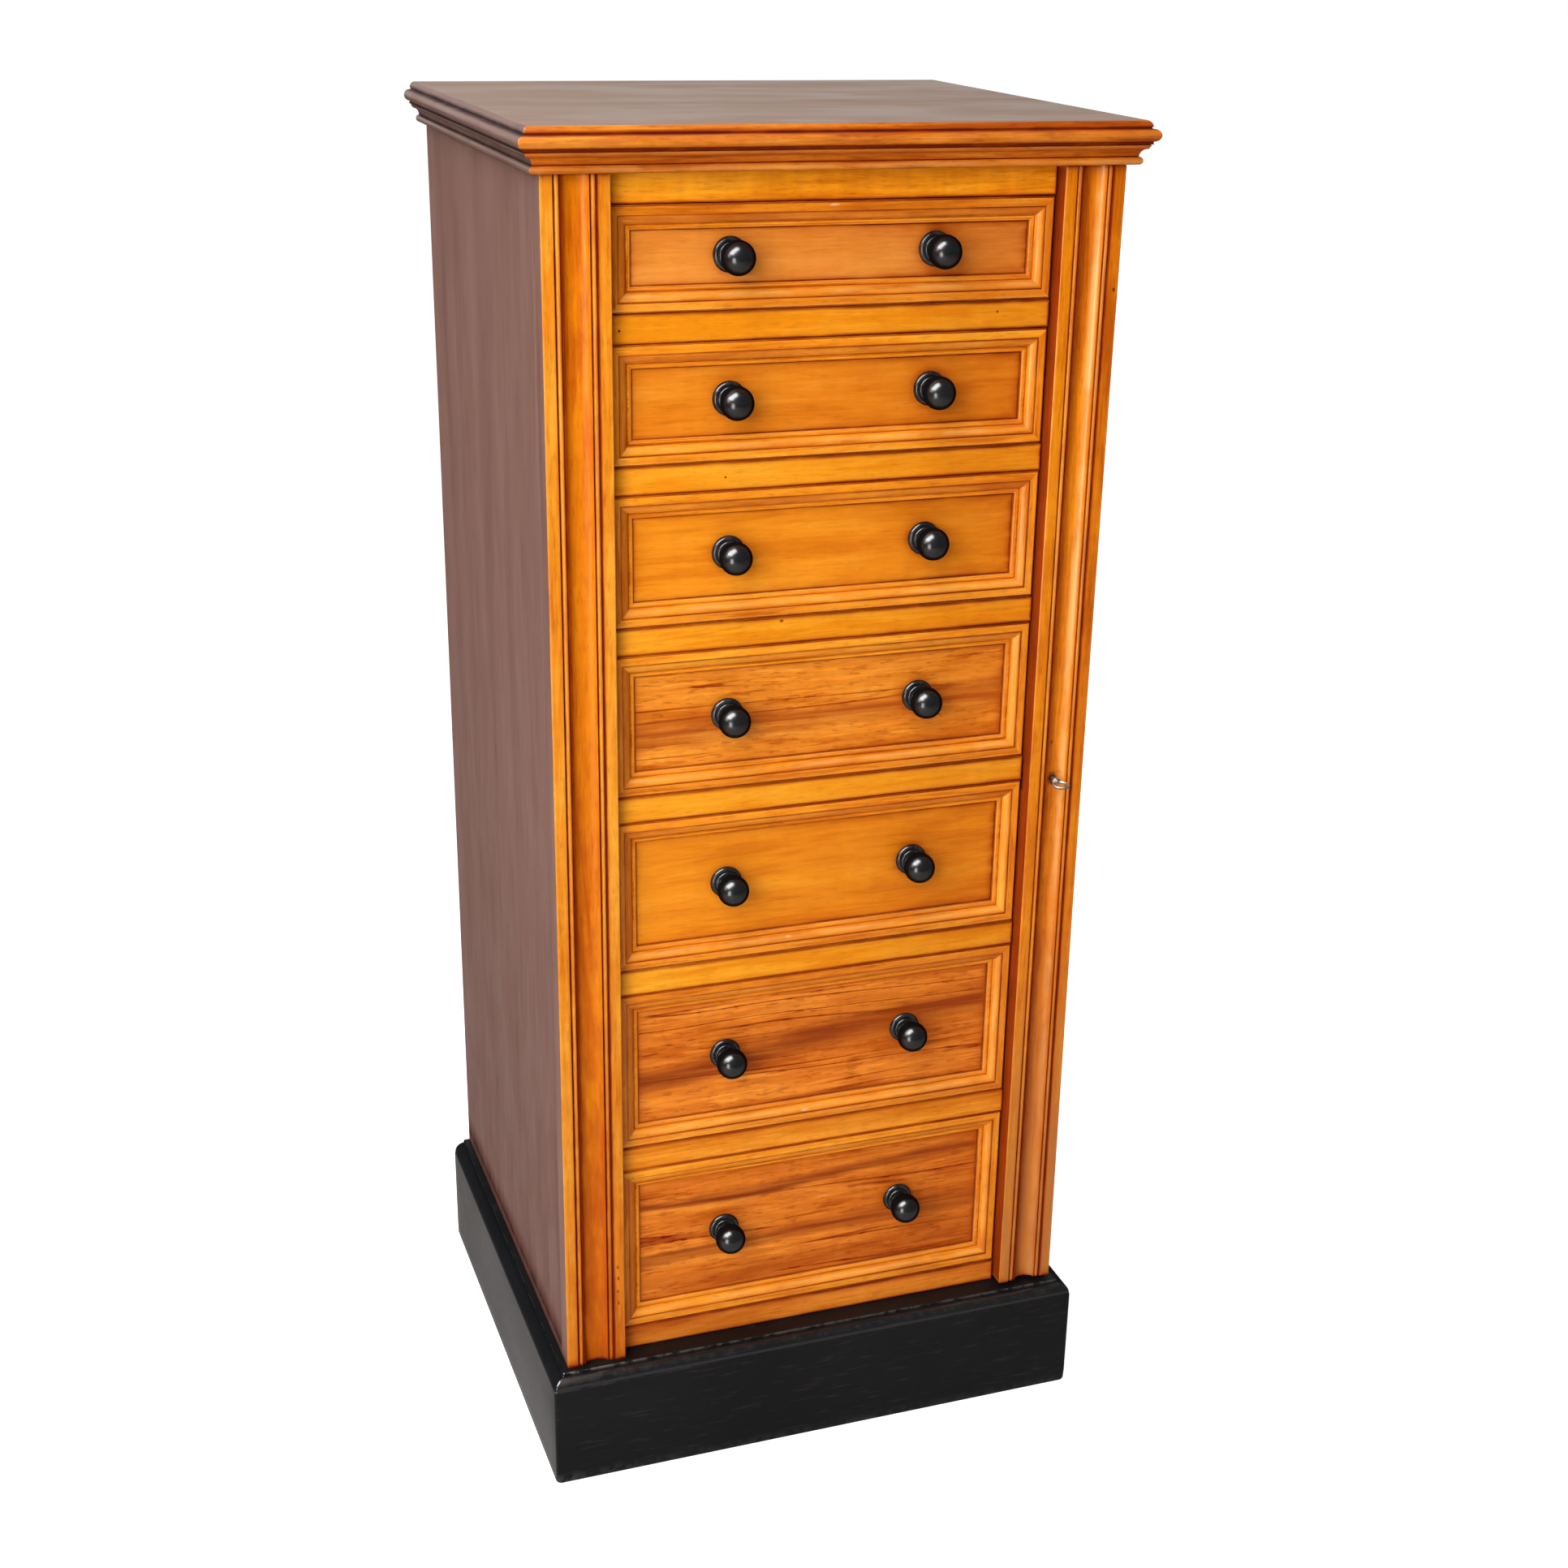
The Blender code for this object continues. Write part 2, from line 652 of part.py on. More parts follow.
def build_key(material):
    """Turned shank and collars, a bit at the inner end and an oval bow that lies level."""
    tip_y = case_back_y - lock_case_floor - seat_gap
    bow_y = face_y - key_bow_stand_off + key_bow_major_radius * key_bow_height_share
    collar_y = bow_y + key_collar_width
    step = key_collar_radius - key_shank_radius
    shank_reach = tip_y - collar_y - key_collar_width
    profile = [(0, 0), (key_shank_radius, 0), (key_shank_radius, shank_reach - step),
               (key_collar_radius, shank_reach), (key_collar_radius, shank_reach + key_collar_width / 2),
               (key_shank_radius, shank_reach + key_collar_width), (key_shank_radius, tip_y - bow_y),
               (0, tip_y - bow_y + key_bow_minor_radius)]
    key = turned("key", profile, (key_x, tip_y, key_z), key_segments, material)
    bit = board("key_bit", (key_x, tip_y - key_bit_length, key_z - key_bit_thickness / 2),
                (key_x + key_bit_radius, tip_y, key_z + key_bit_thickness / 2))
    join(key, bit)
    centre_y = face_y - key_bow_stand_off
    rings = []
    for x, y in key_bow_outline():
        outward = Vector((x - key_x, y - centre_y, 0)).normalized() * key_bow_minor_radius
        sides = [math.radians(degrees) for degrees in range(0, 360, 60)]
        rings.append([Vector((x, y, key_z)) + outward * math.cos(turn) + Vector((0, 0, key_bow_minor_radius))
                      * math.sin(turn) for turn in sides])
    join(key, loft("key_bow", rings, loop=True))
    return key


hinge_x = half_width + seat_gap + knuckle_radius
hinge_y = stile_back_y + seat_gap / 2


def hinge_middle(place):
    share = hinge_lower_share if place == "lower" else hinge_upper_share
    return stile_foot_z + stile_height * share


def leaf_faces(moving):
    """Front and back face of a leaf, let in flush on its side of the joint."""
    return (stile_back_y - leaf_thickness, stile_back_y) if moving else (post_y, post_y + leaf_thickness)


def leaf_room(name, place, moving):
    """The recess for one hinge leaf, open towards the joint and the outer face."""
    front, back = leaf_faces(moving)
    low_z = hinge_middle(place) - hinge_height / 2 - seat_gap
    high_z = hinge_middle(place) + hinge_height / 2 + seat_gap
    y_range = (front - seat_gap, back + overrun) if moving else (front - overrun, back + seat_gap)
    return board(name, (half_width - leaf_width - seat_gap, y_range[0], low_z),
                 (half_width + overrun, y_range[1], high_z))


def build_leaf(place, moving, material):
    """A plate with its own knuckles; the fixed leaf's knuckles also hold the pin."""
    kind = "moving" if moving else "fixed"
    name = f"hinge_{place}_{kind}_leaf"
    front, back = leaf_faces(moving)
    low_z = hinge_middle(place) - hinge_height / 2
    plate_end = hinge_x - knuckle_radius - seat_gap
    leaf = board(name, (half_width - leaf_width, front, low_z), (plate_end, back, low_z + hinge_height), material)
    pitch = hinge_height / knuckle_count
    first = 1 if moving else 0
    reach = hinge_x - (hinge_bore_radius + seat_gap if moving else 0)
    for index in range(first, knuckle_count, 2):
        bottom = low_z + pitch * index + seat_gap / 2
        top = bottom + pitch - seat_gap
        if moving:
            knuckle = ring_knuckle(f"{name}_knuckle_{index}", bottom, top)
        else:
            knuckle = rod(f"{name}_knuckle_{index}", (hinge_x, hinge_y), knuckle_radius, bottom, top, "Z",
                          hinge_segments)
        join(leaf, knuckle)
        join(leaf, board(f"{name}_wrap_{index}", (plate_end - leaf_thickness, front, bottom), (reach, back, top)))
    if not moving:
        join(leaf, rod(f"{name}_pin", (hinge_x, hinge_y), hinge_pin_radius, low_z + pitch / 2,
                       low_z + hinge_height - pitch / 2, "Z", hinge_segments))
    return leaf


def ring_knuckle(name, bottom, top):
    """A short tube round the hinge pin."""
    step = 2 * math.pi / hinge_segments
    rings = []
    for index in range(hinge_segments):
        angle = step * (index + 0.5)
        ray = Vector((math.cos(angle), math.sin(angle), 0))
        middle = Vector((hinge_x, hinge_y, 0))
        section = [(hinge_bore_radius, bottom), (knuckle_radius, bottom), (knuckle_radius, top),
                   (hinge_bore_radius, top)]
        rings.append([middle + ray * radius + Vector((0, 0, z)) for radius, z in section])
    return loft(name, rings, loop=True)


# Drawers

def build_front(number, material):
    """Drawer front: board, mitred moulding and sunk field in one loft, then sockets, groove and knob holes."""
    low = opening_bottom(number) + seat_gap
    high = opening_bottom(number) + opening_height(number) - front_top_clearance
    frame_low = opening_bottom(number) + drawer_gap
    frame_high = frame_low + drawer_height(number)
    frame_half = box_half - moulding_end_margin
    rings = [ring_y(front_back_y, box_half, low, high), ring_y(field_y, box_half, low, high),
             ring_y(field_y, frame_half, frame_low, frame_high)]
    rings += [ring_y(field_y - height, frame_half - inset, frame_low + inset, frame_high - inset)
              for inset, height in front_moulding()]
    front = loft(f"drawer_{number}_front", rings, material)
    centres, half = tail_places(number)
    for side in (-1, 1):
        x_low, x_high = sorted((mirrored(box_inner_half - seat_gap, side), mirrored(box_half + overrun, side)))
        for index, centre in enumerate(centres):
            outline = tail_outline(centre, half, seat_gap)
            outline = outline[:2] + [(front_back_y + overrun, outline[2][1]), (front_back_y + overrun, outline[3][1])]
            cut(front, prism(f"socket_{number}_{side}_{index}", outline, "X", x_low, x_high))
        hole = rod(f"knob_hole_{number}_{side}", (mirrored(knob_spacing / 2, side), knob_level(number)),
                   knob_tenon_radius + knob_hole_clearance, field_y - overrun, front_back_y + overrun, "Y",
                   knob_segments)
        cut(front, hole)
    cut(front, groove_room(f"front_groove_{number}", number, front_back_y - groove_depth, front_back_y + overrun))
    return front


def knob_level(number):
    return opening_bottom(number) + drawer_gap + drawer_height(number) * knob_height_share


def groove_room(name, number, low_y, high_y):
    """The groove that the drawer bottom slides in, as wide as the bottom and its clearance."""
    low_z = opening_bottom(number) + seat_gap + bottom_height
    half = box_inner_half + groove_depth
    return board(name, (-half, low_y, low_z), (half, high_y, low_z + bottom_thickness + 2 * seat_gap))


def build_box(number, material):
    """Two sides with tails at the front, and the back between them over the drawer bottom."""
    root_y = front_back_y + seat_gap
    low = opening_bottom(number) + seat_gap
    high = box_top(number)
    centres, half = tail_places(number)
    outline = [(box_rear_y, low), (box_rear_y, high), (root_y, high)]
    for centre in reversed(centres):
        tip_low, tip_high, root_high, root_low = tail_outline(centre, half, 0)
        outline += [root_high, tip_high, tip_low, root_low]
    outline.append((root_y, low))
    sides = [prism(f"drawer_{number}_box" if side < 0 else f"box_right_{number}", outline, "X",
                   *sorted((mirrored(box_inner_half, side), mirrored(box_half, side))), material)
             for side in (-1, 1)]
    box = sides[0]
    join(box, sides[1])
    back_low = low + bottom_height + bottom_thickness + 2 * seat_gap
    bite = box_side_thickness / 2
    join(box, board(f"box_back_{number}", (-box_inner_half - bite, box_rear_y - box_back_thickness, back_low),
                    (box_inner_half + bite, box_rear_y, high - box_back_drop)))
    cut(box, groove_room(f"box_groove_{number}", number, root_y - overrun, box_rear_y + overrun))
    return box


def build_bottom(number, material):
    low = opening_bottom(number) + 2 * seat_gap + bottom_height
    half = box_inner_half + groove_depth - seat_gap
    return board(f"drawer_{number}_bottom", (-half, front_back_y - groove_depth + seat_gap, low),
                 (half, box_rear_y, low + bottom_thickness), material)


def knob_profile():
    """From the tenon's end out: flange, ring, neck and ball."""
    flange = arc((knob_flange_radius - knob_flange_thickness / 2, knob_flange_thickness / 2 + seat_gap),
                 (knob_flange_thickness / 2, knob_flange_thickness / 2), -90, 90, 3)
    flange_face = knob_flange_thickness + seat_gap
    join_angle = math.degrees(math.asin(knob_neck_radius / knob_ball_radius))
    ball = arc((0, knob_ball_centre), (knob_ball_radius, knob_ball_radius), join_angle - 90, 90, 6)
    return [(0, seat_gap - knob_tenon_length), (knob_tenon_radius, seat_gap - knob_tenon_length),
            (knob_tenon_radius, seat_gap), *flange, (knob_ring_radius, flange_face),
            (knob_ring_radius, flange_face + knob_ring_height), (knob_neck_radius, knob_neck_reach), *ball[:-1],
            (0, knob_ball_centre + knob_ball_radius)]


def build_knob(number, side, material):
    word = "left" if side < 0 else "right"
    centre = (mirrored(knob_spacing / 2, side), field_y, knob_level(number))
    return turned(f"drawer_{number}_knob_{word}", knob_profile(), centre, knob_segments, material)


def build_drawer(number, materials):
    build_front(number, materials["front wood"])
    build_box(number, materials["inner wood"])
    build_bottom(number, materials["inner wood"])
    for side in (-1, 1):
        build_knob(number, side, materials["black wood"])


def main():
    clear_scene()
    materials = build_materials()
    front_wood, side_wood = materials["front wood"], materials["side wood"]
    build_plinth(materials["black wood"])
    side_right = build_sides(side_wood)[1]
    build_bottom_board(front_wood)
    build_top(side_wood)
    build_cornice(front_wood)
    build_frieze(front_wood)
    build_back(materials["inner wood"])
    build_pilaster(front_wood)
    for number in range(1, drawer_count):
        build_rail(number, front_wood)
    build_runner_frame("runner_frame_left", -1, materials["inner wood"])
    right_frame = build_runner_frame("runner_frame_right", 1, materials["inner wood"])
    stile = build_stile(front_wood)
    case = build_lock_case(materials["brass"])
    bolt = build_bolt(materials["brass"])
    key = build_key(materials["steel"])
    moving_leaves = []
    for place in ("lower", "upper"):
        build_leaf(place, False, materials["brass"])
        moving_leaves.append(build_leaf(place, True, materials["brass"]))
        cut(side_right, leaf_room(f"side_{place}_leaf_room", place, moving=False))
    hang_on([key], "key_axis", (key_x, case_front_y, key_z))
    hang_on([stile, case, bolt, *moving_leaves], "stile_hinge_axis", (hinge_x, hinge_y, stile_foot_z))
    for number in range(1, drawer_count + 1):
        build_drawer(number, materials)


main()
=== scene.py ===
# %% [markdown]
# # A tall chest of seven drawers
# This lesson dresses a finished CAD model of a narrow mahogany chest. The CAD model already has every
# board, joint and moving part in its right place. What it lacks is what the eye goes to: soft edges,
# crisp mouldings, grain, polish and wear. Each step makes one of these, and each new piece sits exactly
# where the piece it stands for sits.

import json
import math

import bmesh
import bpy
import numpy as np
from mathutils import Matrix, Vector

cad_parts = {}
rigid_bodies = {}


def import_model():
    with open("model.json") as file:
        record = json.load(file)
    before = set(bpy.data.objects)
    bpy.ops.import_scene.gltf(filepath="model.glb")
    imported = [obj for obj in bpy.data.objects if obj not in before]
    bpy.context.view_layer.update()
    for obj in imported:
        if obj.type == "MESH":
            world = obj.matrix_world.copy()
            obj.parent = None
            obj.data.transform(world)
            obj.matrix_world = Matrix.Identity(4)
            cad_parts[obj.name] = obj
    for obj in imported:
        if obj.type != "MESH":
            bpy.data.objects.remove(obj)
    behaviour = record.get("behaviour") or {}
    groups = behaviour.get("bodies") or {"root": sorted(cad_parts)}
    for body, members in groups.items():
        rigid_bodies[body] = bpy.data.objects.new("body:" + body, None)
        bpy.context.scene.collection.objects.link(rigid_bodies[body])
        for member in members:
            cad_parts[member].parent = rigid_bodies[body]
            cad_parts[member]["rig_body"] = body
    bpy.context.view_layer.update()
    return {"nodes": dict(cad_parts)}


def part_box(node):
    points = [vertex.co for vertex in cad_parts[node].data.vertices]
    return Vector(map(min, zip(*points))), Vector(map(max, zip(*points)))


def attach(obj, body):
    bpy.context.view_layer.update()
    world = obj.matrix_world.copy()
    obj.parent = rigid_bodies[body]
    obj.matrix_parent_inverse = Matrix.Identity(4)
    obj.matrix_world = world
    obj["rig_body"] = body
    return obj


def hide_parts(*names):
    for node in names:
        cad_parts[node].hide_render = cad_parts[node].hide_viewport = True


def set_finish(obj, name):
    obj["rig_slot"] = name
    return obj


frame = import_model()

# %% [markdown]
# ## Planes that the pieces share
# The boxes of the CAD nodes give the main planes: the face of the pilaster, the rails behind it, the
# fields of the drawers. Reading them here, once, keeps every new piece on the model.

# %% Main planes
pilaster_low, pilaster_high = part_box("pilaster_left")
stile_low, stile_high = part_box("locking_stile")
rail_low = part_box("drawer_rail_1")[0]
top_low, top_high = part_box("top_board")
cornice_low, cornice_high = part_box("cornice_moulding")
plinth_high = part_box("plinth")[1]
side_low, side_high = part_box("side_left")
key_low, key_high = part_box("key")

face_y = pilaster_low.y
rail_y = rail_low.y
rear_y = side_high.y
half_width = -pilaster_low.x
opening_half = -pilaster_high.x
key_x, key_z = 0.2164, (key_low.z + key_high.z) / 2
print(f"face at y = {face_y * 1000:.1f} mm, rails at {rail_y * 1000:.1f} mm")
print(f"half width {half_width * 1000:.1f} mm")

# %% [markdown]
# ## Camera
# The picture was taken standing a little to the left, from just above the top, and looking down. A camera
# with the same place, tilt and lens lays the chest on the same part of the image.

# %% Camera
camera_data = bpy.data.cameras.new("photograph camera")
camera_data.sensor_width = 36.0
camera_data.lens = 51.7207
camera_data.shift_x = -0.018726
camera_data.shift_y = 0.031760
camera = bpy.data.objects.new("photograph camera", camera_data)
camera.location = (-0.6462, face_y - 1.7067, 1.3668)
camera.rotation_euler = (1.182387, -0.020763, -0.345803)
bpy.context.scene.collection.objects.link(camera)
bpy.context.scene.camera = camera
bpy.context.scene.view_settings.view_transform = "Standard"
print("camera stands", round(-camera.location.y + face_y, 2), "m in front of the face")

# %% [markdown]
# ## Small helpers for shader nodes
# A material is a small net of nodes. These helpers keep the nets readable: they add any node and wire its
# inputs, add and multiply, mix two colours, and make noise that is stretched in one direction.


# %% Adding nodes
def feed(tree, node, inputs):
    """Links each input that is given as a socket, and sets any other one to its plain value."""
    for key, value in inputs.items():
        if isinstance(value, bpy.types.NodeSocket):
            tree.links.new(value, node.inputs[key])
        else:
            node.inputs[key].default_value = value


def add_node(tree, kind, inputs=None, **settings):
    """Adds a shader node, makes its settings and feeds its inputs."""
    made = tree.nodes.new("ShaderNode" + kind)
    for key, value in settings.items():
        setattr(made, key, value)
    feed(tree, made, inputs or {})
    return made


def maths(tree, operation, first, second=0.0, clamp=False):
    """One operation on two numbers or sockets."""
    return add_node(tree, "Math", {0: first, 1: second}, operation=operation, use_clamp=clamp).outputs[0]


def plus(tree, first, second, clamp=False):
    """first + second."""
    return maths(tree, "ADD", first, second, clamp)


def minus(tree, first, second, clamp=False):
    """first - second."""
    return maths(tree, "SUBTRACT", first, second, clamp)


def times(tree, first, second, clamp=False):
    """first * second."""
    return maths(tree, "MULTIPLY", first, second, clamp)


def vectors(tree, operation, first, second):
    """One operation on two vectors or sockets."""
    return add_node(tree, "VectorMath", {0: first, 1: second}, operation=operation).outputs[0]


print("helpers for sums ready")

# %% [markdown]
# Noise is the raw material of grain, dirt and scuffs. Scaling the place before the noise is made stretches
# it, and easing a narrow range of its values from 0 to 1 turns a cloud into pores, lines or specks.


# %% Mixing, easing and noise
def mix_colours(tree, share, first, second):
    """Blends from the first colour to the second as the share goes from 0 to 1."""
    inputs = {0: share, 6: first, 7: second}
    return add_node(tree, "Mix", inputs, data_type="RGBA", clamp_factor=True).outputs[2]


def ease(tree, value, start, end, low=0.0, high=1.0):
    """Maps the range start to end smoothly onto low to high, and holds it outside."""
    inputs = {"Value": value, "From Min": start, "From Max": end, "To Min": low, "To Max": high}
    return add_node(tree, "MapRange", inputs, interpolation_type="SMOOTHSTEP").outputs[0]


def noise(tree, vector, pitch, detail=2.0, roughness=0.5, output=0):
    """Noise whose cells are 1/pitch metres long in each direction. Output 0 is its value, 1 its colour."""
    scaled = vectors(tree, "MULTIPLY", vector, pitch)
    inputs = {"Vector": scaled, "Scale": 1.0, "Detail": detail, "Roughness": roughness}
    return add_node(tree, "TexNoise", inputs).outputs[output]


def painted(tree, label):
    """A number that was written at each point of a new piece, such as its crevice or its wear."""
    return add_node(tree, "Attribute", attribute_name=label).outputs["Fac"]


def object_place(tree):
    """The place of each point on the chest, because every piece has its object at the origin."""
    return add_node(tree, "TexCoord").outputs["Object"]


def relief(tree, height, strength, distance):
    """Tilts the surface as a small height would."""
    return add_node(tree, "Bump", {"Height": height, "Strength": strength, "Distance": distance}).outputs[0]


print("helpers for patterns ready")

# %% [markdown]
# A node group is a net that many materials share. Its sockets are what differs from one to the next, so a
# single figure serves every wood on the chest.


# %% Groups and materials
def new_group(name, inputs, outputs):
    """An empty node group with named sockets; returns it with its inner input and output sockets."""
    group = bpy.data.node_groups.new(name, "ShaderNodeTree")
    for label, kind, value in inputs:
        socket = group.interface.new_socket(label, in_out="INPUT", socket_type="NodeSocket" + kind)
        if value is not None:
            socket.default_value = value
    for label, kind in outputs:
        group.interface.new_socket(label, in_out="OUTPUT", socket_type="NodeSocket" + kind)
    return group, group.nodes.new("NodeGroupInput").outputs, group.nodes.new("NodeGroupOutput").inputs


def new_material(name):
    """A material, its node tree and its shader."""
    material = bpy.data.materials.new(name)
    material.use_nodes = True
    return material, material.node_tree, material.node_tree.nodes["Principled BSDF"]


def solid(colour):
    """A colour that hides what is behind it."""
    return (*colour, 1.0)


print("helpers for groups and materials ready")

# %% [markdown]
# ## The studio
# The chest stands on a pale floor in front of nothing. The floor and the world look white to the camera,
# and that whiteness is only their own colour: it puts no light on the chest. The world behind the chest
# also shows in glossy reflections, which is why the top and the left side look greyer than the wood is.
# In front, the room is dim, so that the polish stays deep and the black knobs stay black. What little
# light comes from the room is reddish, as it is when wood has thrown it back, and it warms the shadows.

# %% Floor and world
floor_size = 60.0
floor_sink = 0.0004
floor_glow = 0.97
room_glow = 0.17


def build_floor():
    """A large square just under the plinth, which takes the shadow and looks white to the camera."""
    corners = np.array([(-1, -1), (1, -1), (1, 1), (-1, 1)]) * floor_size / 2
    points = np.column_stack([corners, np.full(4, -floor_sink)])
    mesh = bpy.data.meshes.new("studio_floor")
    mesh.from_pydata(points.tolist(), [], [(0, 1, 2, 3)])
    thing = bpy.data.objects.new("studio_floor", mesh)
    bpy.context.scene.collection.objects.link(thing)
    material, tree, shader = new_material("pale studio floor")
    glow = times(tree, add_node(tree, "LightPath").outputs["Is Camera Ray"], floor_glow)
    feed(tree, shader, {"Base Color": (0.62, 0.61, 0.60, 1.0), "Roughness": 0.9,
                        "Emission Color": (0.95, 0.99, 1.0, 1.0), "Emission Strength": glow})
    mesh.materials.append(material)


def build_world():
    """White to the camera, white behind and above the chest to a reflection, and dim to everything else."""
    world = bpy.data.worlds.new("studio world")
    bpy.context.scene.world = world
    world.use_nodes = True
    tree = world.node_tree
    tree.nodes.clear()
    direction = add_node(tree, "SeparateXYZ", {0: add_node(tree, "TexCoord").outputs["Generated"]}).outputs
    behind = times(tree, ease(tree, direction["Y"], 0.1, 0.7), ease(tree, direction["Z"], 0.0, 0.5, 1.0, 0.3))
    ray = add_node(tree, "LightPath").outputs
    mirrored = maths(tree, "MAXIMUM", ray["Is Glossy Ray"], ray["Is Transmission Ray"])
    shown = maths(tree, "MAXIMUM", ray["Is Camera Ray"], times(tree, mirrored, behind))
    tint = mix_colours(tree, ray["Is Diffuse Ray"], (1.0, 0.96, 0.92, 1.0), (1.0, 0.55, 0.36, 1.0))
    dim = add_node(tree, "Background", {"Color": tint, "Strength": room_glow})
    white = add_node(tree, "Background", {"Color": (1.0, 1.0, 1.0, 1.0), "Strength": 1.0})
    mixed = add_node(tree, "MixShader", {0: shown, 1: dim.outputs[0], 2: white.outputs[0]})
    add_node(tree, "OutputWorld", {"Surface": mixed.outputs[0]})


build_floor()
build_world()
print("floor", floor_size, "m square")

# %% [markdown]
# Some lamps only light the chest, and some are only mirrored by it. That lets a broad soft light shape the
# mouldings, while the polish and the knobs show the windows, which in a room are the brightest things.

# %% Lamps
middle = (0.0, face_y, 0.75)
upper = (0.0, face_y, 0.8)
lighting_lamps = [("front bounce", (-2.0, -2.2, 2.2), middle, (2.4, 2.0), 90.0, (1.0, 0.97, 0.93)),
                  ("overhead window", (-0.85, -0.15, 3.1), upper, (1.9, 0.9), 38.0, (0.97, 0.98, 1.0)),
                  ("tall window", (-2.0, -2.0, 1.0), middle, (0.8, 1.7), 18.0, (1.0, 0.98, 0.95))]
mirrored_lamps = [("ceiling panel", (-1.45, -0.15, 3.0), upper, (2.6, 2.5), 470.0, (0.98, 0.98, 1.0)),
                  ("left window", (-2.9, -0.10, 2.3), middle, (1.5, 1.5), 50.0, (0.98, 0.98, 1.0)),
                  ("low panel", (-1.9, -1.75, 0.60), middle, (0.7, 1.4), 40.0, (1.0, 0.98, 0.95))]


def add_window(name, place, aim, size, power, colour, mirrored):
    """A soft rectangular lamp, turned to shine at a point. Its place is measured from the face of the chest.
    It either lights the chest or is mirrored by it."""
    data = bpy.data.lights.new(name, "AREA")
    data.shape = "RECTANGLE"
    data.size, data.size_y = size
    data.energy = power
    data.color = colour
    lamp = bpy.data.objects.new(name, data)
    lamp.location = (place[0], face_y + place[1], place[2])
    away = np.array((place[0], face_y + place[1], place[2])) - np.array(aim)
    flat = math.hypot(away[0], away[1])
    lamp.rotation_euler = (math.atan2(flat, away[2]), 0.0, math.atan2(away[1], away[0]) + math.pi / 2)
    lamp.visible_diffuse = not mirrored
    lamp.visible_glossy = mirrored
    bpy.context.scene.collection.objects.link(lamp)


for lamp in lighting_lamps:
    add_window(*lamp, mirrored=False)
for lamp in mirrored_lamps:
    add_window(*lamp, mirrored=True)

# %% [markdown]
# ## Grain that follows each board
# Mahogany shows broad soft bands, fine fibres along the board, short dark pores, a few long dark lines and
# sometimes reddish streaks. All of these are noise stretched along the board. They are made once, in a
# node group that reads one vector: metres along the grain, across it, and into the wood. Where a moulding
# is mitred, each length brings its own vector, so that the grain turns the corner at the mitre.


# %% Wood figure group
def figure_colour(tree, given, swayed, fibres):
    """Bands, mottle and fibres choose between three colours, and streaks are laid over them."""
    bands = noise(tree, swayed, (1.5, 26.0, 26.0))
    mottle = noise(tree, swayed, (13.0, 85.0, 85.0), roughness=0.55)
    tone = plus(tree, times(tree, bands, 0.44), times(tree, fibres, 0.22))
    tone = plus(tree, tone, times(tree, mottle, 0.34))
    colour = mix_colours(tree, ease(tree, tone, 0.40, 0.50), given["Dark"], given["Middle"])
    colour = mix_colours(tree, ease(tree, tone, 0.50, 0.60), colour, given["Pale"])
    streaks = ease(tree, noise(tree, swayed, (1.1, 22.0, 22.0), detail=1.0), 0.50, 0.64)
    soft = ease(tree, noise(tree, swayed, (4.0, 150.0, 150.0)), 0.3, 0.7, 0.55, 1.0)
    streaks = times(tree, times(tree, streaks, soft), given["Streaks"])
    return mix_colours(tree, streaks, colour, given["Streak"])


def figure_lines(tree, given, swayed):
    """Long dark lines where a slow noise passes through its middle value, with gaps in them."""
    apart = maths(tree, "ABSOLUTE", minus(tree, noise(tree, swayed, (1.2, 80.0, 80.0), detail=0.0), 0.5))
    gaps = ease(tree, noise(tree, given["Grain"], (4.0, 45.0, 45.0), detail=1.0), 0.47, 0.58)
    return times(tree, times(tree, ease(tree, apart, 0.0, 0.034, 1.0, 0.0), gaps), given["Lines"])


def figure_shade(tree, given, pores, lines):
    """What pores, lines and flecks darken, less what light strokes and the ripple of the figure give back."""
    grain = given["Grain"]
    flecks = ease(tree, noise(tree, grain, (70.0, 400.0, 400.0)), 0.55, 0.68)
    strokes = ease(tree, noise(tree, grain, (24.0, 260.0, 260.0)), 0.53, 0.66)
    ripple = minus(tree, noise(tree, grain, (90.0, 16.0, 16.0), detail=1.0), 0.5)
    shade = plus(tree, times(tree, pores, 0.35), times(tree, lines, 0.70))
    shade = minus(tree, shade, times(tree, strokes, times(tree, given["Flecks"], 0.26)))
    shade = plus(tree, shade, times(tree, flecks, times(tree, given["Flecks"], 0.40)))
    return minus(tree, shade, times(tree, ripple, given["Ripple"]))


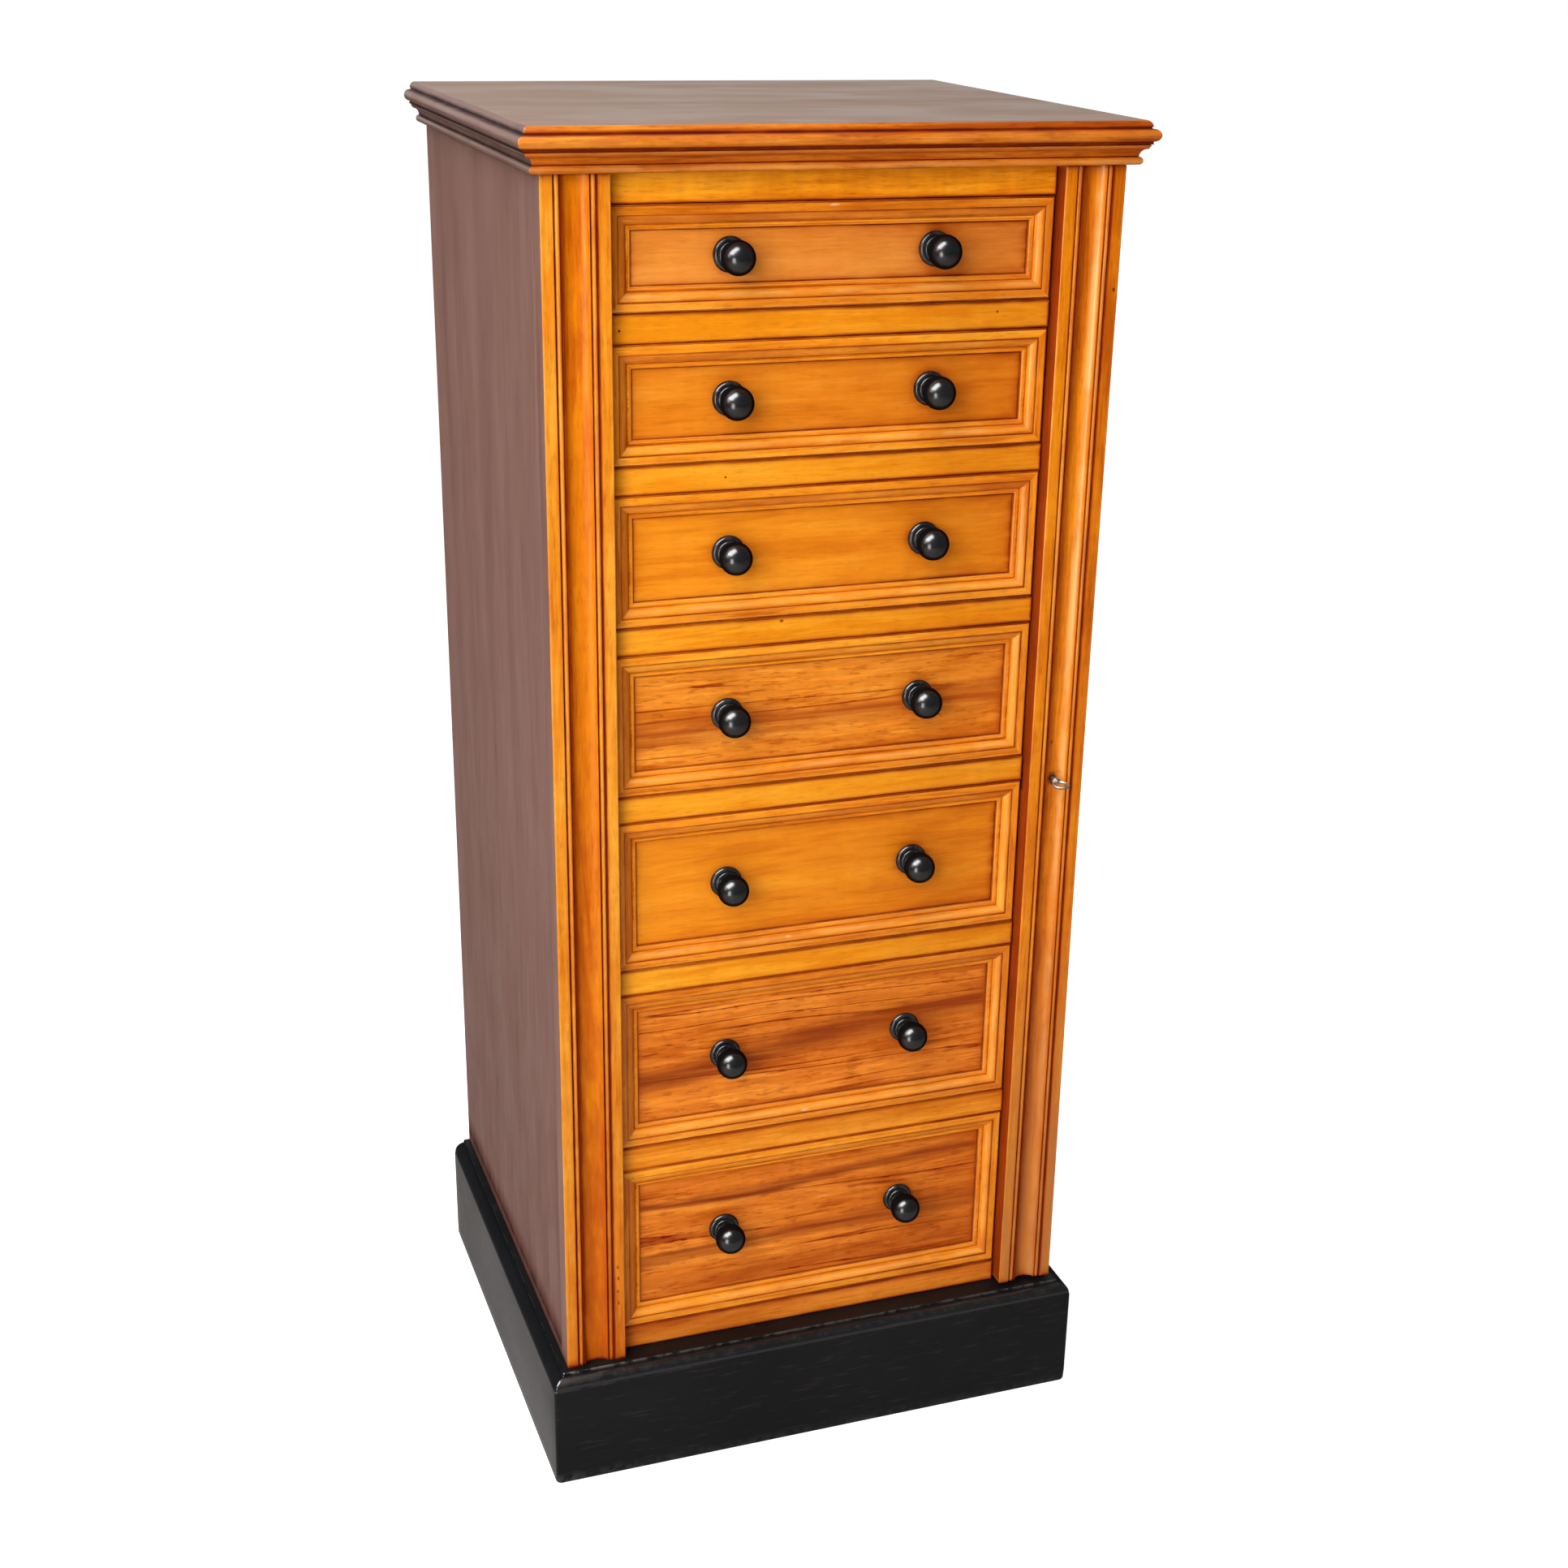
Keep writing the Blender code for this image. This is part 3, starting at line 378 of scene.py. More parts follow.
def build_wood_figure():
    """The figure sways a little across the board. The shade takes away more green and blue than red, because
    old polish darkens towards red."""
    inputs = [("Grain", "Vector", None), ("Pale", "Color", None), ("Middle", "Color", None),
              ("Dark", "Color", None), ("Streak", "Color", None), ("Streaks", "Float", 0.0),
              ("Lines", "Float", 0.3), ("Ripple", "Float", 0.1), ("Pores", "Float", 0.5),
              ("Flecks", "Float", 0.4)]
    tree, given, made = new_group("wood figure", inputs, [("Color", "Color"), ("Height", "Float")])
    grain = given["Grain"]
    sway = vectors(tree, "SUBTRACT", noise(tree, grain, (2.5, 9.0, 9.0), output=1), (0.5, 0.5, 0.5))
    swayed = vectors(tree, "ADD", grain, vectors(tree, "MULTIPLY", sway, (0.0, 0.020, 0.020)))
    fibres = noise(tree, swayed, (16.0, 420.0, 420.0), roughness=0.6)
    pores = ease(tree, noise(tree, grain, (95.0, 1150.0, 1150.0), detail=1.0), 0.60, 0.70)
    pores = times(tree, pores, given["Pores"])
    lines = figure_lines(tree, given, swayed)
    shade = figure_shade(tree, given, pores, lines)
    taken = add_node(tree, "VectorMath", {0: (0.72, 1.0, 1.1), "Scale": shade}, operation="SCALE").outputs[0]
    kept = vectors(tree, "SUBTRACT", (1.0, 1.0, 1.0), taken)
    kept = vectors(tree, "MAXIMUM", kept, (0.02, 0.0, 0.0))
    colour = vectors(tree, "MULTIPLY", figure_colour(tree, given, swayed, fibres), kept)
    tree.links.new(colour, made["Color"])
    dips = plus(tree, pores, times(tree, lines, 0.8))
    tree.links.new(minus(tree, times(tree, fibres, 0.25), dips), made["Height"])
    return tree


wood_figure = build_wood_figure()
print("wood figure:", len(wood_figure.nodes), "nodes")

# %% [markdown]
# ## Old polish
# Years of wax gather in the quirks and corners and turn almost black, while hands rub the arrises pale.
# Every new piece carries two numbers at each point, crevice and wear, worked out with its shape. On some
# pieces the crevice also holds painted shade, and the wear a painted highlight. This group turns them into
# colour and roughness, broken up a little so that no line looks ruled.


# %% Polish group
def build_polish_and_painted_light():
    """Where crevice rises the colour goes to old wax and then to grime, which also paints shade where the
    crevice number stands for it. Rubbing pales it, which also paints a highlight where the wear number stands
    for one, and smudges vary the gloss."""
    inputs = [("Color", "Color", None), ("Grain", "Vector", None), ("Crevice", "Float", 0.0),
              ("Wear", "Float", 0.0), ("Roughness", "Float", 0.3), ("Old wax", "Color", None),
              ("Grime", "Color", None), ("Rubbed", "Color", None)]
    tree, given, made = new_group("old polish", inputs, [("Color", "Color"), ("Roughness", "Float")])
    grain = given["Grain"]
    speckle = noise(tree, grain, (30.0, 120.0, 120.0))
    wax = times(tree, given["Crevice"], ease(tree, speckle, 0.30, 0.65, 0.80, 1.08), clamp=True)
    colour = mix_colours(tree, ease(tree, wax, 0.0, 0.75), given["Color"], given["Old wax"])
    colour = mix_colours(tree, ease(tree, wax, 0.50, 1.0), colour, given["Grime"])
    rub = ease(tree, noise(tree, grain, (24.0, 50.0, 50.0)), 0.36, 0.62, 0.35, 1.0)
    rub = times(tree, rub, given["Wear"], clamp=True)
    smudge = noise(tree, grain, (8.0, 20.0, 20.0), detail=3.0)
    rough = plus(tree, given["Roughness"], ease(tree, smudge, 0.3, 0.7, -0.05, 0.09))
    tree.links.new(mix_colours(tree, rub, colour, given["Rubbed"]), made["Color"])
    tree.links.new(plus(tree, rough, times(tree, wax, 0.25), clamp=True), made["Roughness"])
    return tree


polish_and_painted_light = build_polish_and_painted_light()
print("old polish:", len(polish_and_painted_light.nodes), "nodes")

# %% [markdown]
# ## Marks that belong to one place
# Most of the figure may fall where it likes. A few things have their own place on the chest: nail holes,
# chips, stains, the browner foot of the stile, and the broad reddish bands in three of the drawer fronts.
# Two groups draw them from the place of each point on the chest.


# %% Groups for a mark and for a red band
def build_mark():
    """A ragged spot: 1 where the distance from the centre, divided by the size, is under about 1."""
    inputs = [("Place", "Vector", None), ("Centre", "Vector", None), ("Size", "Vector", None)]
    tree, given, made = new_group("mark on the wood", inputs, [("Mask", "Float")])
    apart = vectors(tree, "SUBTRACT", given["Place"], given["Centre"])
    apart = vectors(tree, "DIVIDE", apart, given["Size"])
    reach = add_node(tree, "VectorMath", {0: apart}, operation="LENGTH").outputs["Value"]
    ragged = times(tree, noise(tree, given["Place"], (700.0, 700.0, 700.0)), 0.9)
    tree.links.new(ease(tree, plus(tree, reach, ragged), 0.8, 1.6, 1.0, 0.0), made["Mask"])
    return tree


def build_band():
    """A soft band along the line z = height + slope * x, whose edges sway with the figure."""
    inputs = [("Place", "Vector", None), ("Grain", "Vector", None), ("Height", "Float", 0.0),
              ("Slope", "Float", 0.0), ("Width", "Float", 0.02)]
    tree, given, made = new_group("red band", inputs, [("Mask", "Float")])
    parts = add_node(tree, "SeparateXYZ", {0: given["Place"]}).outputs
    line = plus(tree, given["Height"], times(tree, parts["X"], given["Slope"]))
    sway = times(tree, minus(tree, noise(tree, given["Grain"], (5.0, 30.0, 30.0)), 0.5), 0.035)
    apart = plus(tree, minus(tree, parts["Z"], line), sway)
    apart = maths(tree, "DIVIDE", maths(tree, "ABSOLUTE", apart), given["Width"])
    strands = ease(tree, noise(tree, given["Grain"], (6.0, 220.0, 220.0)), 0.3, 0.7, 0.45, 1.0)
    tree.links.new(times(tree, ease(tree, apart, 0.1, 1.0, 1.0, 0.0), strands), made["Mask"])
    return tree


mark_group = build_mark()
band_group = build_band()
print("mark group:", len(mark_group.nodes), "nodes, band group:", len(band_group.nodes), "nodes")

# %% [markdown]
# ## Polished wood
# The front is golden mahogany. The left side, the right side and the top are given a much darker, duller
# purplish brown. One function makes all of these from three colours and the strength of each effect. New
# pieces bring their grain vector with them as an attribute. A CAD node has none, so its material takes the
# vector from the object's own coordinates, with the long way put first.

# %% A polished wood
board_ways = {"X": ("X", "Z", "Y"), "Y": ("Y", "Z", "X"), "Z": ("Z", "X", "Y")}
mark_depth_y = face_y + 0.012
mark_reach_y = 0.03


def grain_vector(tree, along):
    """The grain vector of a new piece, or of a CAD node whose boards run along one axis."""
    if along is None:
        return add_node(tree, "Attribute", attribute_name="grain").outputs["Vector"]
    parts = add_node(tree, "SeparateXYZ", {0: object_place(tree)}).outputs
    places = {key: parts[way] for key, way in zip("XYZ", board_ways[along])}
    return add_node(tree, "CombineXYZ", places).outputs[0]


def placed_marks(tree, colour, place, grain, streak, bands, marks):
    """Lays the bands and the marks over a colour. A band is (height, slope, width), and a mark is
    (x, z, size along x, size along z, colour)."""
    for height, slope, width in bands:
        inputs = {"Place": place, "Grain": grain, "Height": height, "Slope": slope, "Width": width}
        band = add_node(tree, "Group", inputs, node_tree=band_group)
        colour = mix_colours(tree, band.outputs[0], colour, solid(streak))
    for x, z, size_x, size_z, tint in marks:
        inputs = {"Place": place, "Centre": (x, mark_depth_y, z), "Size": (size_x, mark_reach_y, size_z)}
        mark = add_node(tree, "Group", inputs, node_tree=mark_group)
        colour = mix_colours(tree, mark.outputs[0], colour, solid(tint))
    return colour


def painted_falloff_shade(tree, crevice, place, right, foot):
    """Painted shade: the crevice rises towards the right of the chest and towards its foot, where the light
    falls off.
    """
    parts = add_node(tree, "SeparateXYZ", {0: place}).outputs
    if right > 0.0:
        crevice = plus(tree, crevice, ease(tree, parts["X"], -0.20, 0.25, 0.0, right))
    if foot > 0.0:
        crevice = plus(tree, crevice, ease(tree, parts["Z"], 1.0, 0.1, 0.0, foot))
    return crevice


def wood_material(name, pale, middle, dark, streak=(0.34, 0.055, 0.006), streaks=0.0, lines=0.3, ripple=0.12,
                  pores=0.5, flecks=0.4, roughness=0.30, coat=0.0, level=0.10, wax=(0.42, 0.070, 0.002),
                  grime=(0.16, 0.016, 0.0008), rubbed=(0.96, 0.50, 0.13), along=None, right=0.0, foot=0.0,
                  bands=(), marks=()):
    """A polished wood: figure, marks, old polish, then the shader with a faint relief. right and foot add
    painted shade towards the right of the chest and towards its foot.
    """
    material, tree, shader = new_material(name)
    grain, place = grain_vector(tree, along), object_place(tree)
    figure = add_node(tree, "Group", {
        "Grain": grain, "Pale": solid(pale), "Middle": solid(middle), "Dark": solid(dark),
        "Streak": solid(streak), "Streaks": streaks, "Lines": lines, "Ripple": ripple, "Pores": pores,
        "Flecks": flecks}, node_tree=wood_figure).outputs
    polish = add_node(tree, "Group", {
        "Color": placed_marks(tree, figure["Color"], place, grain, streak, bands, marks), "Grain": grain,
        "Crevice": painted_falloff_shade(tree, painted(tree, "crevice"), place, right, foot),
        "Wear": painted(tree, "wear"), "Roughness": roughness, "Old wax": solid(wax), "Grime": solid(grime),
        "Rubbed": solid(rubbed)}, node_tree=polish_and_painted_light).outputs
    feed(tree, shader, {"Base Color": polish["Color"], "Roughness": polish["Roughness"],
                        "Normal": relief(tree, figure["Height"], 0.25, 0.0004),
                        "Specular IOR Level": level, "Coat Weight": coat, "Coat Roughness": 0.16})
    return material


print("a wood has", len(board_ways), "possible ways of its grain on a CAD node")

# %% [markdown]
# Each wood is three colours: the pale and dark ends of its figure, and the middle that most of it has.
# They are linear values, as the shader wants them, so they look darker as numbers than they do in paint.

# %% Colours of the woods
golden = dict(pale=(0.97, 0.435, 0.030), middle=(0.93, 0.365, 0.016), dark=(0.85, 0.280, 0.006))
honey = dict(pale=(0.98, 0.405, 0.026), middle=(0.90, 0.300, 0.012), dark=(0.70, 0.175, 0.003))
flamed = dict(pale=(0.99, 0.410, 0.020), middle=(0.92, 0.320, 0.010), dark=(0.76, 0.205, 0.003))
glowing = dict(pale=(0.95, 0.385, 0.044), middle=(0.87, 0.290, 0.024), dark=(0.68, 0.180, 0.009))
mellow = dict(pale=(0.89, 0.375, 0.032), middle=(0.80, 0.272, 0.013), dark=(0.61, 0.150, 0.003))
vivid = dict(pale=(0.90, 0.320, 0.004), middle=(0.80, 0.240, 0.002), dark=(0.61, 0.135, 0.001))
amber = dict(pale=(0.84, 0.272, 0.006), middle=(0.71, 0.188, 0.003), dark=(0.52, 0.106, 0.001))
warm = dict(pale=(0.91, 0.335, 0.026), middle=(0.80, 0.245, 0.011), dark=(0.61, 0.145, 0.003))
deep = dict(pale=(0.75, 0.262, 0.020), middle=(0.59, 0.158, 0.009), dark=(0.37, 0.068, 0.003))
peach = dict(pale=(0.92, 0.385, 0.070), middle=(0.85, 0.300, 0.042), dark=(0.70, 0.200, 0.017))
ruddy = dict(pale=(0.90, 0.300, 0.032), middle=(0.75, 0.205, 0.018), dark=(0.54, 0.112, 0.006))
dark_red = dict(pale=(0.31, 0.046, 0.003), middle=(0.25, 0.033, 0.002), dark=(0.18, 0.020, 0.001))
umber = dict(pale=(0.252, 0.145, 0.122), middle=(0.232, 0.130, 0.107), dark=(0.206, 0.110, 0.092))
dusky = dict(pale=(0.205, 0.122, 0.102), middle=(0.175, 0.100, 0.082), dark=(0.135, 0.070, 0.057))
tawny = dict(pale=(0.265, 0.172, 0.120), middle=(0.250, 0.159, 0.111), dark=(0.228, 0.142, 0.098))
print("one wood, from pale to dark:", list(golden.values()))

# %% [markdown]
# Nails, chips and stains sit where they do on the real chest. Each is a place, a size and a colour. The last
# mark on the stile is painted shadow: a dark patch round the keyhole, where the hole and the key cast shade.

# %% Marks
nail = (0.035, 0.010, 0.004)
chip = (0.86, 0.50, 0.24)
stain = (0.30, 0.080, 0.006)
faint = (0.50, 0.140, 0.006)
bruise = (0.20, 0.030, 0.002)
dark_bruise = (0.16, 0.026, 0.002)
knot = (0.22, 0.040, 0.003)
keyhole_shadow = (0.09, 0.014, 0.002)
rail_marks = [(-0.1807, 1.0608, 0.0013, 0.0013, nail), (0.1421, 1.0644, 0.0012, 0.0012, nail),
              (-0.0928, 0.9397, 0.0011, 0.0011, nail), (-0.0425, 0.8139, 0.0022, 0.0016, knot)]
frame_marks = [(-0.0039, 1.1532, 0.0050, 0.0012, chip), (-0.0308, 0.5188, 0.0034, 0.0012, chip),
               (-0.0117, 0.3398, 0.0048, 0.0016, chip), (0.0720, 0.7010, 0.0030, 0.0010, chip)]
stile_marks = [(0.2405, 1.0812, 0.0016, 0.0024, nail), (0.2129, 0.6820, 0.0022, 0.0026, stain),
               (0.2216, 0.6530, 0.0034, 0.0022, faint), (0.2120, 0.6250, 0.0018, 0.0080, faint),
               (0.2152, key_z + 0.0008, 0.0062, 0.0070, keyhole_shadow)]
foot_marks = [(-0.1962, 0.2150, 0.0016, 0.0022, bruise), (-0.1958, 0.2030, 0.0014, 0.0030, dark_bruise),
              (-0.1964, 0.1890, 0.0016, 0.0020, bruise), (-0.1958, 0.1765, 0.0013, 0.0034, dark_bruise)]
print("marks:", sum(map(len, (rail_marks, frame_marks, stile_marks, foot_marks))))

# %% [markdown]
# The rails and mouldings of the front are the brightest wood. The two posts have more ripple and a redder
# dirt. The returns beside the drawers are almost the red of the polish itself: partly old polish, partly
# painted shade for the shadow of the drawers on them.

# %% Woods of the front
# The right and foot values below are painted shade: darker where the light falls off, towards the right of
# the chest and towards its foot.
post_look = dict(ripple=0.24, pores=0.4, flecks=0.4, grime=(0.22, 0.018, 0.0005))
frame_look = dict(lines=0.3, ripple=0.16, flecks=0.5, coat=0.22, right=0.20, marks=frame_marks)
rail_wood = wood_material("golden rail wood", **golden, lines=0.15, pores=0.3, flecks=0.30, right=0.28,
                          marks=rail_marks)
frieze_wood = wood_material("flamed frieze wood", **flamed, lines=0.2, ripple=0.45, pores=0.3, flecks=0.5,
                            right=0.08)
frame_wood = wood_material("honey moulding wood", **honey, **frame_look, pores=0.4)
ruddy_frame = wood_material("warm moulding wood", **warm, **frame_look, pores=0.5)
post_wood = wood_material("mellow pilaster wood", **mellow, **post_look, coat=0.10, foot=0.30,
                          marks=foot_marks)
hollow_wood = wood_material("vivid pilaster hollow", **vivid, **post_look, foot=0.30)
# The rubbed colour of the stile also paints the highlight on its hollow.
stile_wood = wood_material("amber stile wood", **amber, **post_look, coat=0.22, rubbed=(0.94, 0.58, 0.19),
                           foot=0.14, streak=(0.52, 0.200, 0.050), bands=[(0.15, 0.0, 0.42)],
                           marks=stile_marks)
# The returns are partly old polish and partly painted shade, for the shadow that the drawers cast on them.
return_polish_and_shade = wood_material("dark red polish of the returns", **dark_red, lines=0.1, level=0.05,
                            roughness=0.5, rubbed=(0.45, 0.10, 0.01))
low_rail_wood = wood_material("warm rail wood", **warm, streaks=0.25, ripple=0.14, pores=0.4)
bottom_wood = wood_material("ruddy bottom rail wood", **ruddy, streaks=0.4, ripple=0.14, right=0.22)
print("post look:", post_look)

# %% [markdown]
# The sides and the top are quiet: hardly any figure shows, and what light they send to the eye is mostly a
# dull reflection of the room.

# %% Woods of the sides and the top
edge_wood = wood_material("deep golden edge moulding", **deep, lines=0.4, ripple=0.22, pores=0.6, flecks=0.7,
                          rubbed=(0.86, 0.40, 0.12))
# The foot value of the side polish is painted shade, darker towards the foot.
flank_wood = wood_material("dull purple-brown polish", **umber, streak=(0.10, 0.046, 0.040), streaks=0.25,
                           lines=0.1, ripple=0.05, pores=0.2, flecks=0.1, roughness=0.36, level=0.06,
                           wax=(0.120, 0.040, 0.028), grime=(0.030, 0.006, 0.004), rubbed=(0.36, 0.22, 0.17),
                           foot=0.16)
dusky_wood = wood_material("dusky edge polish", **dusky, lines=0.2, ripple=0.10, pores=0.3, roughness=0.34,
                           wax=(0.065, 0.028, 0.022), grime=(0.018, 0.006, 0.005), rubbed=(0.30, 0.19, 0.15))
top_wood = wood_material("tawny top polish", **tawny, streak=(0.15, 0.090, 0.060), streaks=0.12, lines=0.1,
                         ripple=0.04, pores=0.2, flecks=0.1, roughness=0.38, wax=(0.10, 0.045, 0.028),
                         grime=(0.03, 0.012, 0.008), rubbed=(0.5, 0.34, 0.24))
print("side and top:", flank_wood.name, "and", top_wood.name)

# %% [markdown]
# Five woods serve the seven fields. Three of the woods are quiet, with their figure drawn in towards its
# middle colour. The other two, of the fourth drawer and the last two, have streaks and sloping red bands.


# %% Woods of the drawer fields
def softened(colours, share):
    """Moves the pale and the dark colour towards the middle one by a share, for a board with quiet grain."""
    middle = np.array(colours["middle"])
    return {key: tuple((middle + (np.array(value) - middle) * (1 - share)).tolist())
            for key, value in colours.items()}


# The right values of the fields are painted shade, darker towards the right of the chest.
field_look = dict(lines=0.2, pores=0.3, flecks=0.22, right=0.36)
streaked = dict(streaks=0.30, lines=1.2, ripple=0.20, pores=0.6, flecks=0.9, right=0.26)
peach_field = wood_material("peach drawer field", **softened(peach, 0.5), **field_look, streaks=0.10)
orange_field = wood_material("orange drawer field", **softened(warm, 0.4), **field_look, streaks=0.15)
honey_field = wood_material("honey drawer field", **softened(honey, 0.4), **field_look, streaks=0.10)
streaky_field = wood_material("streaked drawer field", **glowing, **streaked, streak=(0.46, 0.090, 0.008),
                              bands=[(0.724, 0.03, 0.020), (0.778, 0.02, 0.009)])
ruddy_field = wood_material("ruddy streaked field", **ruddy, **streaked, streak=(0.27, 0.040, 0.004),
                            bands=[(0.4105, 0.109, 0.019), (0.205, 0.05, 0.016), (0.262, 0.02, 0.008)])
print("woods:", [material.name for material in bpy.data.materials if material.users == 0])

# %% [markdown]
# Inside, nothing was polished. The drawer linings and runners are plain pine, browned by age, and the back
# is a darker board. The drawer fronts behind their show faces are the warm wood of the front again.

# %% Materials for boards kept from the CAD model
pine = dict(pale=(0.60, 0.42, 0.22), middle=(0.50, 0.33, 0.16), dark=(0.38, 0.235, 0.11))
brown_pine = dict(pale=(0.30, 0.18, 0.10), middle=(0.24, 0.14, 0.075), dark=(0.17, 0.095, 0.05))
pine_look = dict(streak=(0.25, 0.13, 0.06), streaks=0.25, ripple=0.05, pores=0.3, roughness=0.62, level=0.25)
lining_along = {way: wood_material(f"bare pine along {way}", **pine, **pine_look, along=way) for way in "XYZ"}
front_behind = wood_material("warm board behind", **warm, along="X")
back_board = wood_material("browned back board", **brown_pine, roughness=0.66, level=0.25, along="Z")
kept_finishes = {"back_panel": back_board, "runner_frame_left": lining_along["Z"],
                 "runner_frame_right": lining_along["Z"]}
for number in range(1, 8):
    kept_finishes[f"drawer_{number}_box"] = lining_along["Y"]
    kept_finishes[f"drawer_{number}_bottom"] = lining_along["X"]
    kept_finishes[f"drawer_{number}_front"] = front_behind


def refinish(node, material):
    """Gives a CAD node a new material and leaves its mesh alone."""
    slots = frame["nodes"][node].material_slots
    if len(slots) == 0:
        frame["nodes"][node].data.materials.append(material)
    for slot in slots:
        slot.material = material


for node, material in kept_finishes.items():
    refinish(node, material)
print("refinished:", len(kept_finishes), "nodes")

# %% [markdown]
# ## Ebonised wood
# The plinth and the knobs are stained black and polished. Black hides the grain but not the handling: fine
# scratches dull it, and the arrises rub through to a greyish brown.

# %% Ebony
deep_black = (0.0056, 0.0066, 0.0080, 1.0)
soft_black = (0.0080, 0.0092, 0.0108, 1.0)
scuffed = (0.075, 0.068, 0.062, 1.0)
# The grey of worn-through black; on the front of the plinth it also paints a highlight.
worn_grey_and_glint = (0.20, 0.19, 0.18, 1.0)
black_dirt = (0.006, 0.005, 0.005, 1.0)


def black_colour(tree, place, cloud, scratch, scuffs, crevice):
    """A cloudy black with grey scuffs, brownish bare wood where it is rubbed, and dirt in the corners. On the
    front of the plinth the rubbed grey also paints a highlight.
    """
    bare = ease(tree, noise(tree, place, (130.0, 130.0, 130.0), detail=3.0), 0.40, 0.62)
    bare = times(tree, painted(tree, "wear"), bare)
    colour = mix_colours(tree, ease(tree, cloud, 0.30, 0.75), deep_black, soft_black)
    colour = mix_colours(tree, times(tree, scratch, scuffs), colour, scuffed)
    colour = mix_colours(tree, times(tree, bare, 0.7), colour, worn_grey_and_glint)
    return mix_colours(tree, times(tree, crevice, 0.6), colour, black_dirt)


def black_material(name, roughness, coat, scuffs, level, coat_roughness=0.23):
    """Black stain under polish, with cloudy gloss and shallow dents. Dirt dulls the top coat, and so does a
    slanting look, so that the rim of a knob stays black beside the bright wood."""
    material, tree, shader = new_material(name)
    place, crevice = object_place(tree), painted(tree, "crevice")
    cloud = noise(tree, place, (5.0, 5.0, 9.0))
    scratch = ease(tree, noise(tree, place, (30.0, 60.0, 420.0), roughness=0.6), 0.58, 0.74)
    rough = plus(tree, ease(tree, cloud, 0.3, 0.7, roughness - 0.03, roughness + 0.05),
                 times(tree, scratch, 0.12))
    dents = times(tree, noise(tree, place, (38.0, 38.0, 60.0)), 0.2)
    height = minus(tree, dents, times(tree, noise(tree, place, (25.0, 500.0, 500.0)), 0.3))
    feed(tree, shader, {"Base Color": black_colour(tree, place, cloud, scratch, scuffs, crevice),
                        "Roughness": rough, "Normal": relief(tree, height, 0.12, 0.001),
                        "Specular IOR Level": level})
    if coat > 0.0:
        facing = add_node(tree, "LayerWeight", {"Blend": 0.5}).outputs["Facing"]
        straight = times(tree, ease(tree, facing, 0.30, 0.58, 1.0, 0.0), coat)
        clear = times(tree, minus(tree, 1.0, crevice, clamp=True), straight)
        feed(tree, shader, {"Coat Weight": clear, "Coat Roughness": coat_roughness})
    return material


plinth_black = black_material("ebonised plinth", 0.32, 0.0, 0.20, 0.12)
moulding_black = black_material("polished plinth moulding", 0.28, 1.0, 0.12, 0.0, 0.20)
dull_black = black_material("dull plinth moulding", 0.5, 0.0, 0.04, 0.012)
knob_black = black_material("ebonised knobs", 0.32, 1.0, 0.06, 0.0)
print("blacks:", [black.name for black in (plinth_black, moulding_black, dull_black, knob_black)])

# %% [markdown]
# ## Metals
# The key is plain steel, dulled and slightly spotted. The hinges and the lock are brass that has gone brown.


# %% Steel and brass
def metal_material(name, bright, dull, roughness):
    """Metal that is bright where rubbed and dull in clouds, in specks and in its corners."""
    material, tree, shader = new_material(name)
    place = object_place(tree)
    cloud = noise(tree, place, (160.0, 160.0, 160.0), detail=4.0)
    specks = ease(tree, noise(tree, place, (900.0, 900.0, 900.0), detail=1.0), 0.60, 0.72)
    tarnish = plus(tree, ease(tree, cloud, 0.42, 0.68), times(tree, specks, 0.5))
    tarnish = plus(tree, tarnish, painted(tree, "crevice"), clamp=True)
    feed(tree, shader, {"Base Color": mix_colours(tree, tarnish, solid(bright), solid(dull)),
                        "Roughness": plus(tree, times(tree, tarnish, 0.22), roughness),
                        "Normal": relief(tree, cloud, 0.15, 0.0003), "Metallic": 1.0})
    return material


key_steel = metal_material("worn key steel", (0.46, 0.42, 0.37), (0.23, 0.19, 0.155), 0.38)
old_brass = metal_material("browned brass", (0.62, 0.45, 0.20), (0.24, 0.16, 0.08), 0.34)
brass_nodes = ["lock_case", "lock_bolt"]
brass_nodes += [f"hinge_{place}_{kind}_leaf" for place in ("lower", "upper") for kind in ("fixed", "moving")]
for node in brass_nodes:
    refinish(node, old_brass)
print("brass on:", brass_nodes)

# %% [markdown]
# ## From a grid of points to a finished piece
# Each new piece is a surface: rows of points, where one number goes round the section and the other goes
# along the piece. One helper lists the four-sided faces of such a grid. Another puts points and faces into
# a mesh, turns the faces outwards, writes the grain, crevice and wear, and hangs the piece on its body.


# %% Faces of a grid
def grid_faces(rows, columns, close_rows=False, start=0):
    """Corner numbers of the faces between neighbouring points of a grid, row by row. Each row is a ring, and
    the last row meets the first one if the rows close."""
    row = np.arange(rows if close_rows else rows - 1)
    row, column = np.meshgrid(row, np.arange(columns), indexing="ij")
    next_row, next_column = (row + 1) % rows, (column + 1) % columns
    corners = [row * columns + column, row * columns + next_column, next_row * columns + next_column,
               next_row * columns + column]
    return start + np.stack(corners, axis=-1).reshape(-1, 4)


def capped_faces(rows, columns):
    """The faces of a grid of rings, and one flat face over each open end."""
    return [*grid_faces(rows, columns), np.arange(columns), np.arange(columns) + (rows - 1) * columns]


print("three rings of 4 points have", len(capped_faces(3, 4)), "faces with their ends")

# %% [markdown]
# The grain vector is stored at the corners of the faces, because two faces that share a mitre have grain
# in different directions there. Each piece shifts its grain by an amount that comes from its name.

# %% Grain and finishing
grain_ways = np.array([(0, 2, 1), (1, 2, 0), (2, 0, 1)])
grain_shift = np.array([3.7, 1.3, 2.1])
shift_count = 89


